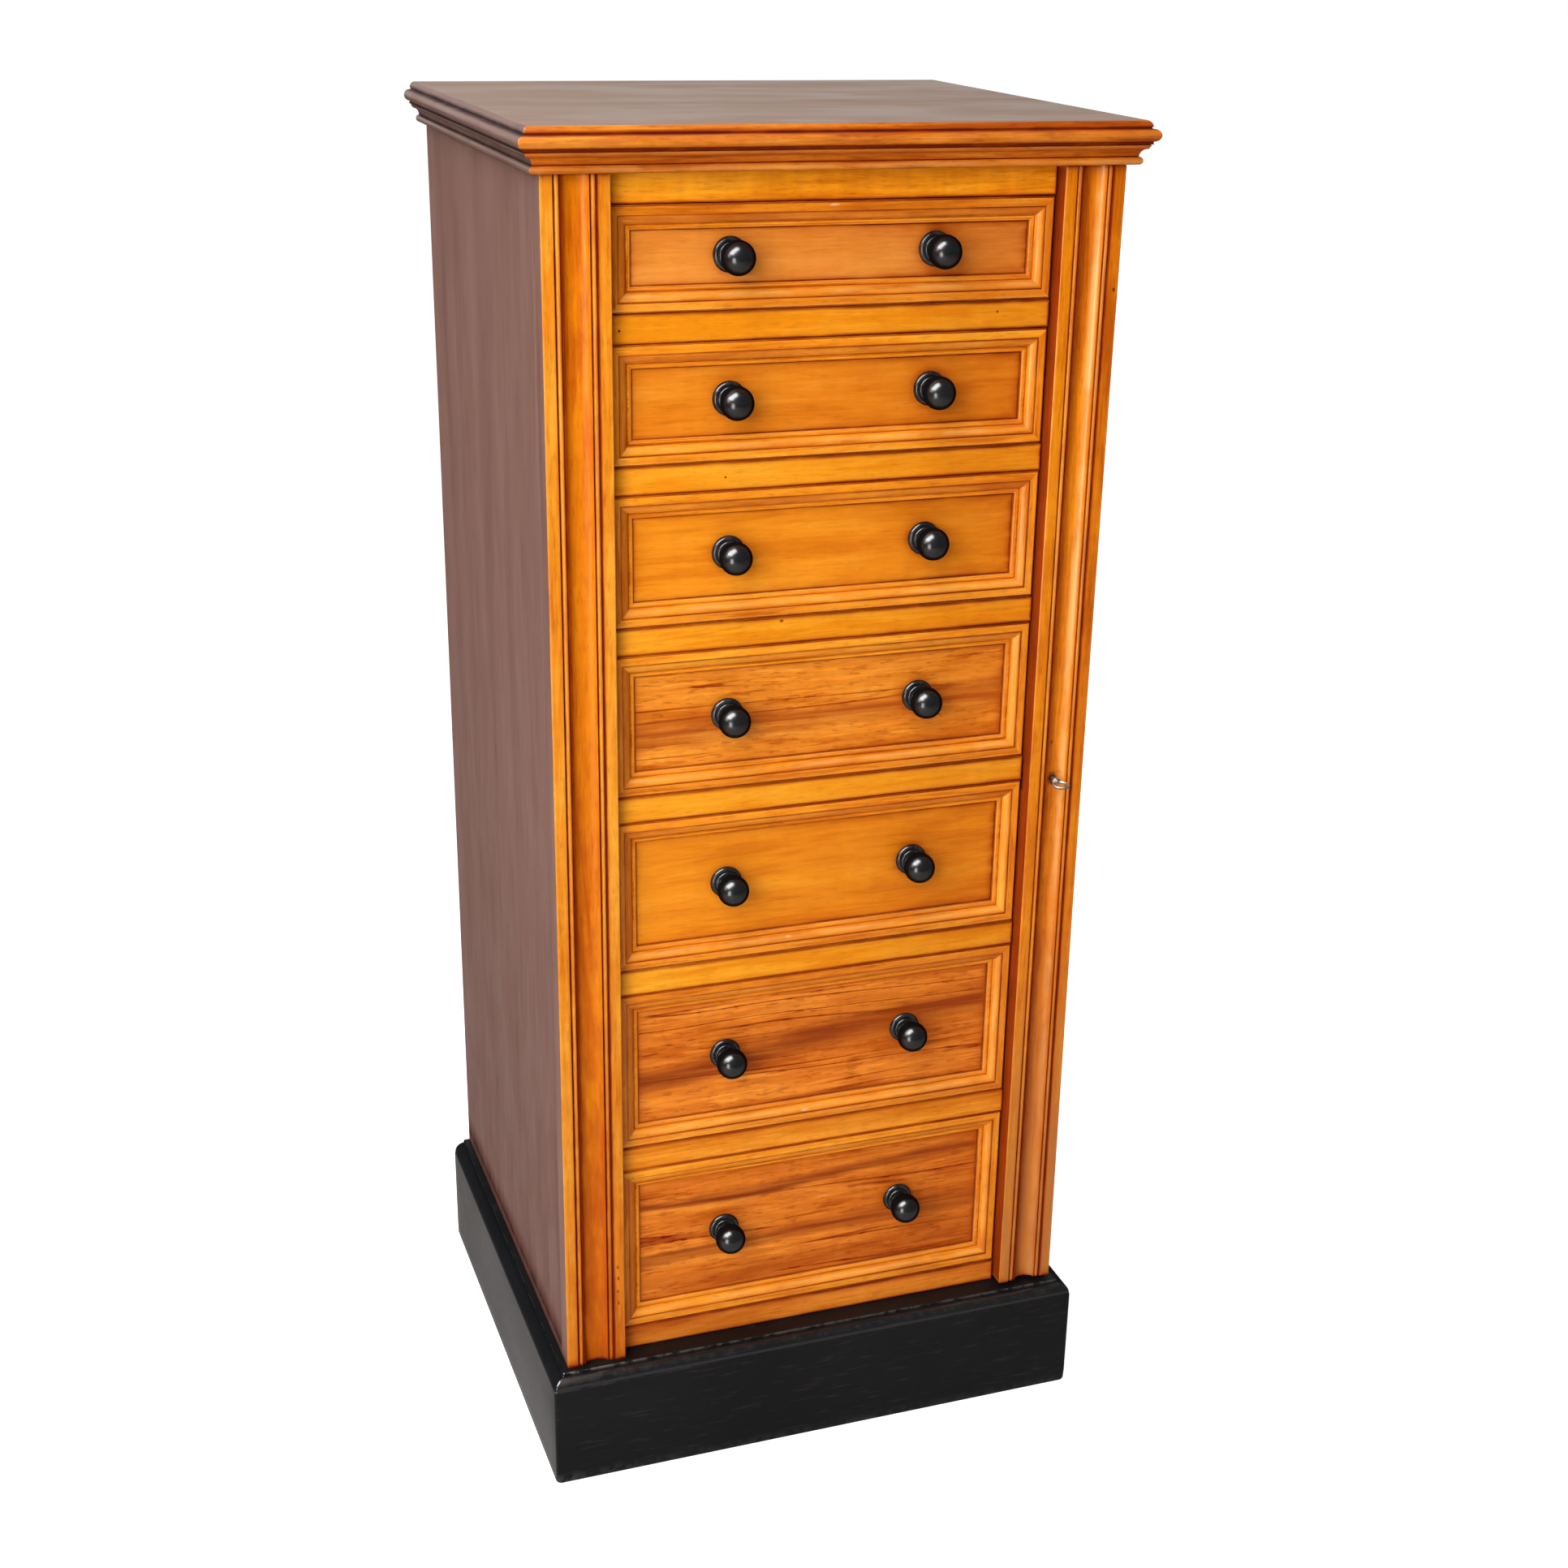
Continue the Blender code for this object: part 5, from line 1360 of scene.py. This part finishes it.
# %% Profile and path of the moulding
def cornice_profile():
    """Overhang, height, crevice and wear, from the upper outer arris down to the lower inner edge."""
    bottom, top = cornice_low.z, cornice_high.z
    fillet_z, cove_foot = top - 0.0036, bottom + 0.0062
    cove_over, cove_depth = 0.0124, 0.0054
    bend = np.linspace(0, math.pi / 2, 11)[:-1]
    cove = np.column_stack([cove_over - cove_depth * np.sin(bend),
                            cove_foot + (fillet_z - cove_foot) * np.cos(bend)])
    bead = arc_points((0.0070, bottom + 0.0031), (0.0028, 0.0031), 90, -90, 12)
    bead_angle = np.linspace(90, -90, 13)
    return np.concatenate([
        shaded([(0.0136, top), (0.0142, top - 0.0005), (0.0139, top - 0.0012), (0.0126, fillet_z + 0.0001)],
               (1.0, 0.35, 0.1, 0.7), (0.0, 0.25, 0.2, 0.0)),
        shaded(cove, 0.62 - 0.52 * np.sin(2 * bend)),
        shaded([(0.0069, cove_foot + 0.0004), (0.0066, cove_foot)], 1.0),
        shaded(bead, np.clip((np.abs(bead_angle) - 50) / 40, 0, 1), 0.4 * np.exp(-(bead_angle / 40) ** 2)),
        shaded([(0.0004, bottom)], 0.8)])


def cornice_path(over):
    """The U of the moulding for each overhang: up the left side, round a corner, and the same mirrored, with
    the front between them. Returns the path and how many of its rows belong to each end."""
    rho = 0.0010
    turn = np.linspace(0.0, math.pi / 2, 5)[:, None]
    runs = np.linspace(0.0, 1.0, 8)[:-1, None]
    left_x, front_y, back = -half_width - over, face_y - over, cornice_high.y
    side_y = back + (front_y + rho - back) * runs
    left = np.dstack([np.broadcast_to(left_x, side_y.shape), side_y])
    corner = np.dstack([left_x + rho * (1 - np.cos(turn)), front_y + rho * (1 - np.sin(turn))])
    share = np.linspace(0.0, 1.0, 14)[1:-1, None]
    front_x = (left_x + rho) * (1 - 2 * share)
    front = np.dstack([front_x, np.broadcast_to(front_y, front_x.shape)])
    half_path = np.concatenate([left, corner])
    mirrored = half_path[::-1] * np.array([-1.0, 1.0])
    return np.concatenate([half_path, front, mirrored]), len(left) + len(corner) // 2


print("moulding profile", len(cornice_profile()), "points")

# %% [markdown]
# The profile carried along the path is an open ribbon. Two more points behind it, one low and one high,
# close it against the sides and the frieze, so the moulding is a solid length of wood.


# %% Moulding under the top
def build_cornice():
    """The profile carried along the path, closed by a plain back against the sides and the frieze."""
    profile = cornice_profile()
    path, end_rows = cornice_path(profile[:, 0])
    inner_x, inner_y = half_width + gap, rail_y - gap
    walk = path[:, 0, :]
    inner = np.column_stack([np.clip(walk[:, 0], -inner_x, inner_x), np.maximum(walk[:, 1], inner_y)])
    section = np.concatenate([path, inner[:, None, :], inner[:, None, :]], axis=1)
    rows, columns = section.shape[:2]
    heights = np.concatenate([profile[:, 1], [cornice_low.z, cornice_high.z]])
    points = np.dstack([section, np.broadcast_to(heights, (rows, columns))]).reshape(-1, 3)
    stretch = np.arange(rows - 1)
    on_side = (stretch < end_rows) | (stretch >= rows - 1 - end_rows)
    member = np.repeat(on_side, columns).astype(int)
    crevice = np.concatenate([profile[:, 2], [0.5, 0.5]])
    wear = np.concatenate([profile[:, 3], [0.0, 0.0]])
    return finish_piece("cornice_dressed", points, capped_faces(rows, columns), "carcass", "front_wood",
                        [edge_wood, dusky_wood], way=np.concatenate([member, [0, 0]]),
                        finish=np.concatenate([member, [1, 1]]), crevice=np.tile(crevice, rows),
                        wear=np.tile(wear, rows), nodes=["cornice_moulding"])


cornice = build_cornice()
print("cornice", len(cornice.data.polygons), "faces")

# %% [markdown]
# ## Plinth
# Four black boards are mitred into a frame with a small moulding along the top edge. Feet and brooms have
# rounded its corners and rubbed the arrises of the front, and a painted highlight in the same grey lies on
# the front moulding, brightest near its left corner. The rings go up the outside and down the inside, and
# then close on themselves, so the frame stays open in the middle.

# %% Profile of the plinth
plinth_over = 0.0170
plinth_wall = 0.042
body_rows, rim_rows = 6, 4


def plinth_profile():
    """Overhang, height, corner radius, crevice and wear, from the floor up the outer face, over the rim and
    down the inner face."""
    top = plinth_high.z
    moulding_z, step_z = top - 0.0115, top - 0.0030
    ovolo = arc_points((0.0073, moulding_z), (0.0089, step_z - moulding_z), 0, 90, 10)
    share = np.linspace(-1.2, 1, len(ovolo))
    foot_round = [(0.0148, 0.0), (0.0162, 0.0006), (plinth_over, 0.0022)]
    body = [(plinth_over, 0.012), (plinth_over, moulding_z - 0.0030), (0.0168, moulding_z - 0.0012),
            (0.0162, moulding_z - 0.0006)]
    rim = [(0.0068, step_z), (0.0065, step_z + 0.0004), (0.0065, top - 0.0006), (0.0059, top), (0.0052, top),
           (0.0, top)]
    inner = [(plinth_over - plinth_wall, top), (plinth_over - plinth_wall, 0.0)]
    outline = np.concatenate([foot_round, body, ovolo, rim, inner])
    radius = np.repeat([0.0045, 0.0030, 0.0022, 0.0015, 0.0008], [3, 4, len(ovolo), 6, 2])
    crevice = np.concatenate([[0.4, 0.2, 0.0, 0.0, 0.0, 0.0, 0.8], np.zeros(len(ovolo)),
                              [0.4, 0.2, 0.0, 0.0, 0.3, 0.9, 0.0, 0.0]])
    # On the ovolo the wear is a painted sheen.
    wear = np.concatenate([[0.2, 0.4, 0.2, 0.0, 0.0, 0.08, 0.05], 0.12 * np.exp(-share ** 2 * 3),
                           [0.1, 0.1, 0.8, 1.0, 0.0, 0.0, 0.0, 0.0]])
    return outline[:, 0], outline[:, 1], radius, crevice, wear


print("plinth profile", len(plinth_profile()[0]), "points")

# %% [markdown]
# Shoes and brooms meet the front of a plinth, and its ends hardly at all. So the wear of the profile is
# multiplied along each ring by a factor for each side. On the front the factor grows towards the left corner,
# where the grey is a painted highlight.


# %% Plinth
def build_plinth():
    """Rings whose back edge lies in the plane of the carcass back, except on the inner face. Near the left
    corner of the front the wear, there a painted highlight, grows by 1.5 * exp(-distance / 40 mm)."""
    over, z, radius, crevice, wear = plinth_profile()
    back = np.where(over < 0, rear_y - plinth_wall, rear_y)
    u, v, sides, _ = rectangle_rings(-half_width - over, half_width + over, face_y - over, back, radius, 6,
                                     (), (24, 24))
    rows, columns = u.shape
    member = np.tile(sides, rows)
    row_of = np.repeat(np.arange(rows), columns)
    moulded = (row_of >= body_rows) & (row_of < rows - rim_rows)
    # Painted highlight: near the left corner of the front the wear grows, standing in for the glint there.
    rubbed = 0.5 + 1.5 * falloff_from(u + half_width + over[:, None], 0.040)
    wear = np.clip(wear[:, None] * np.where(sides == 3, rubbed, 0.1), 0.0, 1.0)
    return finish_piece("plinth_dressed", lifted(u, v, z), grid_faces(rows, columns, close_rows=True),
                        "carcass", "black_wood", [plinth_black, moulding_black, dull_black],
                        way=np.where(member % 2 == 1, 0, 1),
                        finish=np.where(moulded, np.where(member == 3, 1, 2), 0),
                        crevice=np.repeat(crevice, columns), wear=wear.ravel(), nodes=["plinth"])


plinth = build_plinth()
print("plinth", len(plinth.data.polygons), "faces")

# %% [markdown]
# ## Drawer faces
# The face of each drawer is a flat field inside a mitred moulding: a fillet, a quarter round and a bead.
# The CAD front behind it has the sockets for the dovetails and stays as it is. The show face is a closed
# skin that lies less than a tenth of a millimetre over it. Its field is a fine grid, so that the polish can
# darken in the corners and in a halo round each knob.

# %% Profile of the drawer moulding
lay = 0.00008
rise = 0.0087
frame_width = 0.0186
quarter_start, quarter_end = 0.0064, 0.0146


def front_profile():
    """Distance in from the outer edge, height over the field, crevice and wear. A small lip stands in the
    gap. Quarter round: (edge + 8 mm * sin t, foot + height * cos t)."""
    lip = [(-0.0011, -0.0004), (-0.0011, rise - 0.0020), (-0.0009, rise - 0.0015), (0.0, rise - 0.0013)]
    edge_ease = arc_points((0.0010, rise - 0.0010), (-0.0010, 0.0010), 0, 90, 4)
    ovolo = arc_points((quarter_start, 0.0021), (0.0080, 0.0057), 90, 0, 12)[1:]
    share = np.linspace(0, 1, 13)[1:]
    ovolo_crevice = np.clip(0.8 - 4.0 * share, 0, 1) + np.clip(share * 5 - 4.2, 0, 0.7)
    bead = arc_points((0.0168, 0.0012), (0.0018, 0.0018), 180, 0, 10)[1:-1]
    bead_crevice = np.clip(np.abs(np.linspace(-1, 1, 11)) * 3 - 2, 0, 1)[1:-1]
    return np.concatenate([
        shaded(lip, (0.35, 0.45, 0.5, 0.6)),
        shaded(edge_ease, (0.6, 0.35, 0.15, 0.0, 0.0), (0.0, 0.1, 0.2, 0.2, 0.1)),
        shaded([(0.0022, rise), (0.0050, rise), (0.0061, rise)], (0.0, 0.0, 0.2), (0.0, 0.0, 0.15)),
        shaded([(quarter_start, rise - 0.0002), (0.0065, rise - 0.0009)], (0.6, 0.9)),
        shaded(ovolo, ovolo_crevice, 0.3 * np.exp(-((share - 0.45) / 0.2) ** 2)),
        shaded([(quarter_end, 0.0009)], 1.0),
        shaded(bead, bead_crevice, 0.15),
        shaded([(frame_width, 0.0)], 1.0)])


print("drawer moulding profile:", len(front_profile()), "points")

# %% [markdown]
# The rings of the moulding end at the edge of the field, and the field's grid has to meet them point for
# point, or the skin would leak. So a small table lists, for each place of the grid, which point sits there:
# the last ring round the border, and new points inside.


# %% Field inside the moulding
def field_net(tall, wide, last_ring, first_inside):
    """Faces of a grid of tall by wide cells, whose border is the last ring of the moulding."""
    net = np.empty((tall + 1, wide + 1), int)
    net[:, wide] = last_ring + np.arange(tall + 1)
    net[tall, ::-1] = last_ring + tall + np.arange(wide + 1)
    net[::-1, 0] = last_ring + tall + wide + np.arange(tall + 1)
    net[0, :wide] = last_ring + 2 * tall + wide + np.arange(wide)
    net[1:-1, 1:-1] = first_inside + np.arange((tall - 1) * (wide - 1)).reshape(tall - 1, wide - 1)
    return np.stack([net[:-1, :-1], net[:-1, 1:], net[1:, 1:], net[1:, :-1]], axis=-1).reshape(-1, 4)


knob_half_spacing = 0.0875
flange_edge = 0.0143


def field_dirt(points, half_wide, low_z, high_z, knob_z):
    """Old polish along the border of the field and in a halo round each knob, fading with the distance."""
    x, z = points[:, 0], points[:, 2]
    border = np.minimum(half_wide - np.abs(x), np.minimum(z - low_z, high_z - z))
    halo = np.hypot(np.abs(x) - knob_half_spacing, z - knob_z) - flange_edge
    return np.clip(0.50 * falloff_from(border, 0.0030) + 0.34 * falloff_from(np.clip(halo, 0, None), 0.0045), 0, 1)


print("a field of 3 by 4 cells has", len(field_net(3, 4, 0, 14)), "faces")

# %% [markdown]
# Shade and light differ from side to side of the moulding: painted shade lies on its upper and left slopes,
# which face away from the light, and a painted highlight, in the colour of rubbed wood, on the lower and
# right ones, which face it.

# %% One drawer face
first_frame_height, frame_height_step = 0.080, 0.014
frame_sink, frame_play = 0.0019, 0.0005
frame_marks_in = (0.0012, 0.0030, 0.0060, 0.0100)
# Painted shade and painted highlight for each member, in the order right, top, left, bottom.
painted_shade_on = np.array([0.0, 0.18, 0.34, 0.0])
painted_highlight_on = np.array([1.6, 0.4, 0.2, 2.0])
cell_size, cells_wide, least_cells = 0.004, 84, 14


def build_drawer_face(number, field_finish, frame_finish):
    """The moulding as rings round the field, and the field as a grid inside the last ring."""
    low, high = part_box(f"drawer_{number}_front")
    knob_low, knob_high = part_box(f"drawer_{number}_knob_left")
    field_y = low.y + rise - lay
    frame_half = high.x - frame_play + lay
    frame_low = low.z + frame_sink - lay
    frame_high = frame_low + first_frame_height + frame_height_step * (number - 1) + 2 * lay
    profile = front_profile()
    inset = profile[:, 0]
    spread = (max(least_cells, round((frame_high - frame_low) / cell_size)), cells_wide)
    u, v, sides, _ = rectangle_rings(-frame_half + inset, frame_half - inset, frame_low + inset,
                                     frame_high - inset, 0.0, 0, frame_marks_in, spread)
    rows, columns = u.shape
    y = np.broadcast_to((field_y - profile[:, 1])[:, None], u.shape)
    frame_points = np.dstack([u, y, v]).reshape(-1, 3)
    tall, wide = [count + 2 * len(frame_marks_in) + 1 for count in spread]
    across, up = np.meshgrid(u[-1, 2 * tall + wide + 1:], v[-1, 1:tall])
    field_points = np.dstack([across, np.full_like(across, field_y), up]).reshape(-1, 3)
    field_faces = field_net(tall, wide, (rows - 1) * columns, len(frame_points))
    field_crevice = field_dirt(field_points, frame_half - frame_width, frame_low + frame_width,
                               frame_high - frame_width, (knob_low.z + knob_high.z) / 2)
    quarter = (inset > quarter_start) & (inset < quarter_end)
    # Painted shade on the quarter rounds that face away from the light; the wear below is partly a painted
    # highlight on those that face it.
    member_shade = painted_shade_on[sides][None, :] * quarter[:, None]
    crevice = np.concatenate([np.maximum(profile[:, 2:3], member_shade).ravel(), field_crevice])
    frame_wear_and_highlight = profile[:, 3:4] * painted_highlight_on[sides][None, :]
    wear = np.concatenate([frame_wear_and_highlight.ravel(), np.zeros(len(field_points))])
    frame_way = np.tile(np.where(sides % 2 == 1, 0, 2), rows - 1)
    faces = [*grid_faces(rows, columns), *field_faces, np.arange(columns)]
    way = np.concatenate([frame_way, np.zeros(len(field_faces) + 1, int)])
    finish = np.repeat([0, 1, 0], [len(frame_way), len(field_faces), 1])
    return finish_piece(f"drawer_{number}_show_face", np.concatenate([frame_points, field_points]), faces,
                        f"drawer_{number}", "front_wood", [frame_finish, field_finish], way=way,
                        finish=finish, crevice=crevice, wear=wear)


field_finishes = [peach_field, orange_field, honey_field, streaky_field, honey_field, ruddy_field,
                  ruddy_field]
ruddy_drawers = (1, 6)
for number, field_finish in enumerate(field_finishes, start=1):
    frame_finish = ruddy_frame if number in ruddy_drawers else frame_wood
    face = build_drawer_face(number, field_finish, frame_finish)
print("last drawer face", len(face.data.polygons), "faces")

# %% [markdown]
# ## Turned knobs
# A knob is turned in one piece: a flange with a rounded rim that hides the hole, a short waist, and a ball.
# Turning is a profile of radius against distance, carried round an axis. Fourteen knobs come from one
# profile, each at its own place.

# %% Profile of a knob
ball_centre, ball_radius, ball_steps = 0.0217, 0.0138, 40
waist_radius = 0.0066


def knob_profile():
    """Radius, distance out from the field, crevice and wear: flange, ring, waist and ball, out to the tip."""
    rim = arc_points((0.0113, 0.0004), (0.0030, 0.0034), -7, 90, 9)
    ring = arc_points((0.0090, 0.0045), (0.0017, 0.0017), -20, 90, 7)
    waist = [(0.0083, 0.0065), (0.0075, 0.0070), (0.0069, 0.0077), (waist_radius, 0.0086)]
    start = math.degrees(math.asin(waist_radius / ball_radius)) - 90
    ball = arc_points((0.0, ball_centre), (ball_radius, ball_radius), start, 90, ball_steps - 1)
    return np.concatenate([
        shaded([(0.0, -0.0002), (0.0141, -0.0002)], 0.5),
        shaded(rim, 0.0, 0.15),
        shaded([(0.0109, 0.0037)], 0.9),
        shaded(ring, (0.6, 0.2, 0.0, 0.0, 0.0, 0.0, 0.0, 0.2), 0.1),
        shaded(waist, (0.5, 0.8, 1.0, 1.0)),
        shaded(ball, np.clip((0.55 - np.linspace(0, 1, ball_steps)) * 12, 0, 1))])


print("knob profile", len(knob_profile()), "points")

# %% [markdown]
# Fingers dull the ball of a knob, but not evenly. They take hold at the lower right, and hardly ever touch
# the upper left, so the bright cap round the tip reaches further that way.

# %% Knobs
cap_angle, cap_shift, cap_fade = 66, 13, 8
cap_turn = 0.75 * math.pi
ball_start = 0.009


def build_knob(number, word, side):
    """The profile turned round its axis. The ball is dull beyond an angle from its tip, which is 66 degrees
    at the upper left and 40 degrees opposite."""
    profile = knob_profile()
    low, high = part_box(f"drawer_{number}_knob_{word}")
    field_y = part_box(f"drawer_{number}_front")[0].y + rise
    turn = np.linspace(0.0, 2 * math.pi, 56, endpoint=False)
    radius, reach = profile[:, :1], profile[:, 1:2]
    x = side * knob_half_spacing + radius * np.cos(turn)
    z = (low.z + high.z) / 2 + radius * np.sin(turn)
    from_tip = np.degrees(np.arctan2(radius, reach - ball_centre))
    limit = cap_angle - cap_shift * (1 - np.cos(turn - cap_turn))
    handled = np.where(reach > ball_start, np.clip((from_tip - limit) / cap_fade, 0, 1), 0.0)
    points = np.dstack([x, np.broadcast_to(field_y - reach, x.shape), z]).reshape(-1, 3)
    rows, columns = x.shape
    return finish_piece(f"knob_{number}_{word}_turned", points, grid_faces(rows, columns), f"drawer_{number}",
                        "black_wood", [knob_black], crevice=np.maximum(profile[:, 2:3], handled).ravel(),
                        wear=np.repeat(profile[:, 3], columns), nodes=[f"drawer_{number}_knob_{word}"],
                        sharp=50)


for number in range(1, 8):
    for word, side in (("left", -1), ("right", 1)):
        knob = build_knob(number, word, side)
print("a knob has", len(knob.data.polygons), "faces")

# %% [markdown]
# ## Key
# The key is steel: a turned shank with a collar, a flat bit inside the lock, and an oval bow to hold. The
# bow is a ring with a round section, so it is a circle carried round an ellipse.

# %% Bow of the key
wire, bow_half_width, bow_half_length = 0.0013, 0.0067, 0.0074
bow_y = key_low.y + wire + bow_half_length
bow_steps, wire_steps, rod_steps = 64, 20, 40


def bow_points():
    """Ellipse + wire * (cos s * outward + sin s * up), where outward is square to the ellipse."""
    around = np.linspace(0.0, 2 * math.pi, bow_steps, endpoint=False)
    section = np.linspace(0.0, 2 * math.pi, wire_steps, endpoint=False)[None, :, None]
    path = np.column_stack([key_x + bow_half_width * np.cos(around), bow_y + bow_half_length * np.sin(around),
                            np.full(bow_steps, key_z)])
    outward = np.column_stack([bow_half_length * np.cos(around), bow_half_width * np.sin(around),
                               np.zeros(bow_steps)])
    outward /= np.linalg.norm(outward, axis=1, keepdims=True)
    up = np.array([0.0, 0.0, 1.0])
    ring = path[:, None, :] + wire * (np.cos(section) * outward[:, None, :] + np.sin(section) * up)
    return ring.reshape(-1, 3)


print("bow", len(bow_points()), "points")

# %% [markdown]
# The shank is turned like a knob, and the bit is a small box beside its inner end. They stay separate
# shells of one piece, since brazing would hide the joint between them.

# %% Shank, bit and key
bit_length, bit_width, bit_half = 0.0038, 0.0056, 0.0010


def build_key():
    """The bow, then the shank as a profile turned round y, then the bit as a small box."""
    start_y = bow_y + bow_half_length
    reach = key_high.y - start_y
    shank = np.array([(0.0, -0.0014, 0.2), (0.0016, -0.0012, 0.2), (0.0026, -0.0002, 0.1),
                      (0.0027, 0.0010, 0.0), (0.0036, 0.0018, 0.0), (0.0037, 0.0026, 0.0),
                      (0.0035, 0.0034, 0.1), (0.0027, 0.0040, 0.4), (0.0025, 0.0060, 0.3),
                      (0.0025, reach * 0.5, 0.7), (0.0025, reach - 0.0002, 0.7), (0.0, reach, 0.7)])
    turn = np.linspace(0.0, 2 * math.pi, rod_steps, endpoint=False)
    x = key_x + shank[:, :1] * np.cos(turn)
    z = key_z + shank[:, :1] * np.sin(turn)
    rod = np.dstack([x, np.broadcast_to(start_y + shank[:, 1:2], x.shape), z]).reshape(-1, 3)
    bit, bit_faces = cutter_box((key_x, key_high.y - bit_length, key_z - bit_half),
                                (key_x + bit_width, key_high.y, key_z + bit_half))
    bow = bow_points()
    faces = [*grid_faces(bow_steps, wire_steps, close_rows=True),
             *grid_faces(len(shank), rod_steps, start=len(bow)),
             *[face + len(bow) + len(rod) for face in bit_faces]]
    crevice = np.concatenate([np.zeros(len(bow)), np.repeat(shank[:, 2], rod_steps), np.full(len(bit), 0.6)])
    return finish_piece("key_turned", np.concatenate([bow, rod, bit]), faces, "key", "key_steel", [key_steel],
                        crevice=crevice, nodes=["key"], sharp=40)


key = build_key()
print("key", len(key.data.polygons), "faces, standing", round((face_y - key_low.y) * 1000, 1), "mm out")
print("key box", [round((b - a) * 1000, 2) for a, b in zip(key_low, key_high)], "mm")
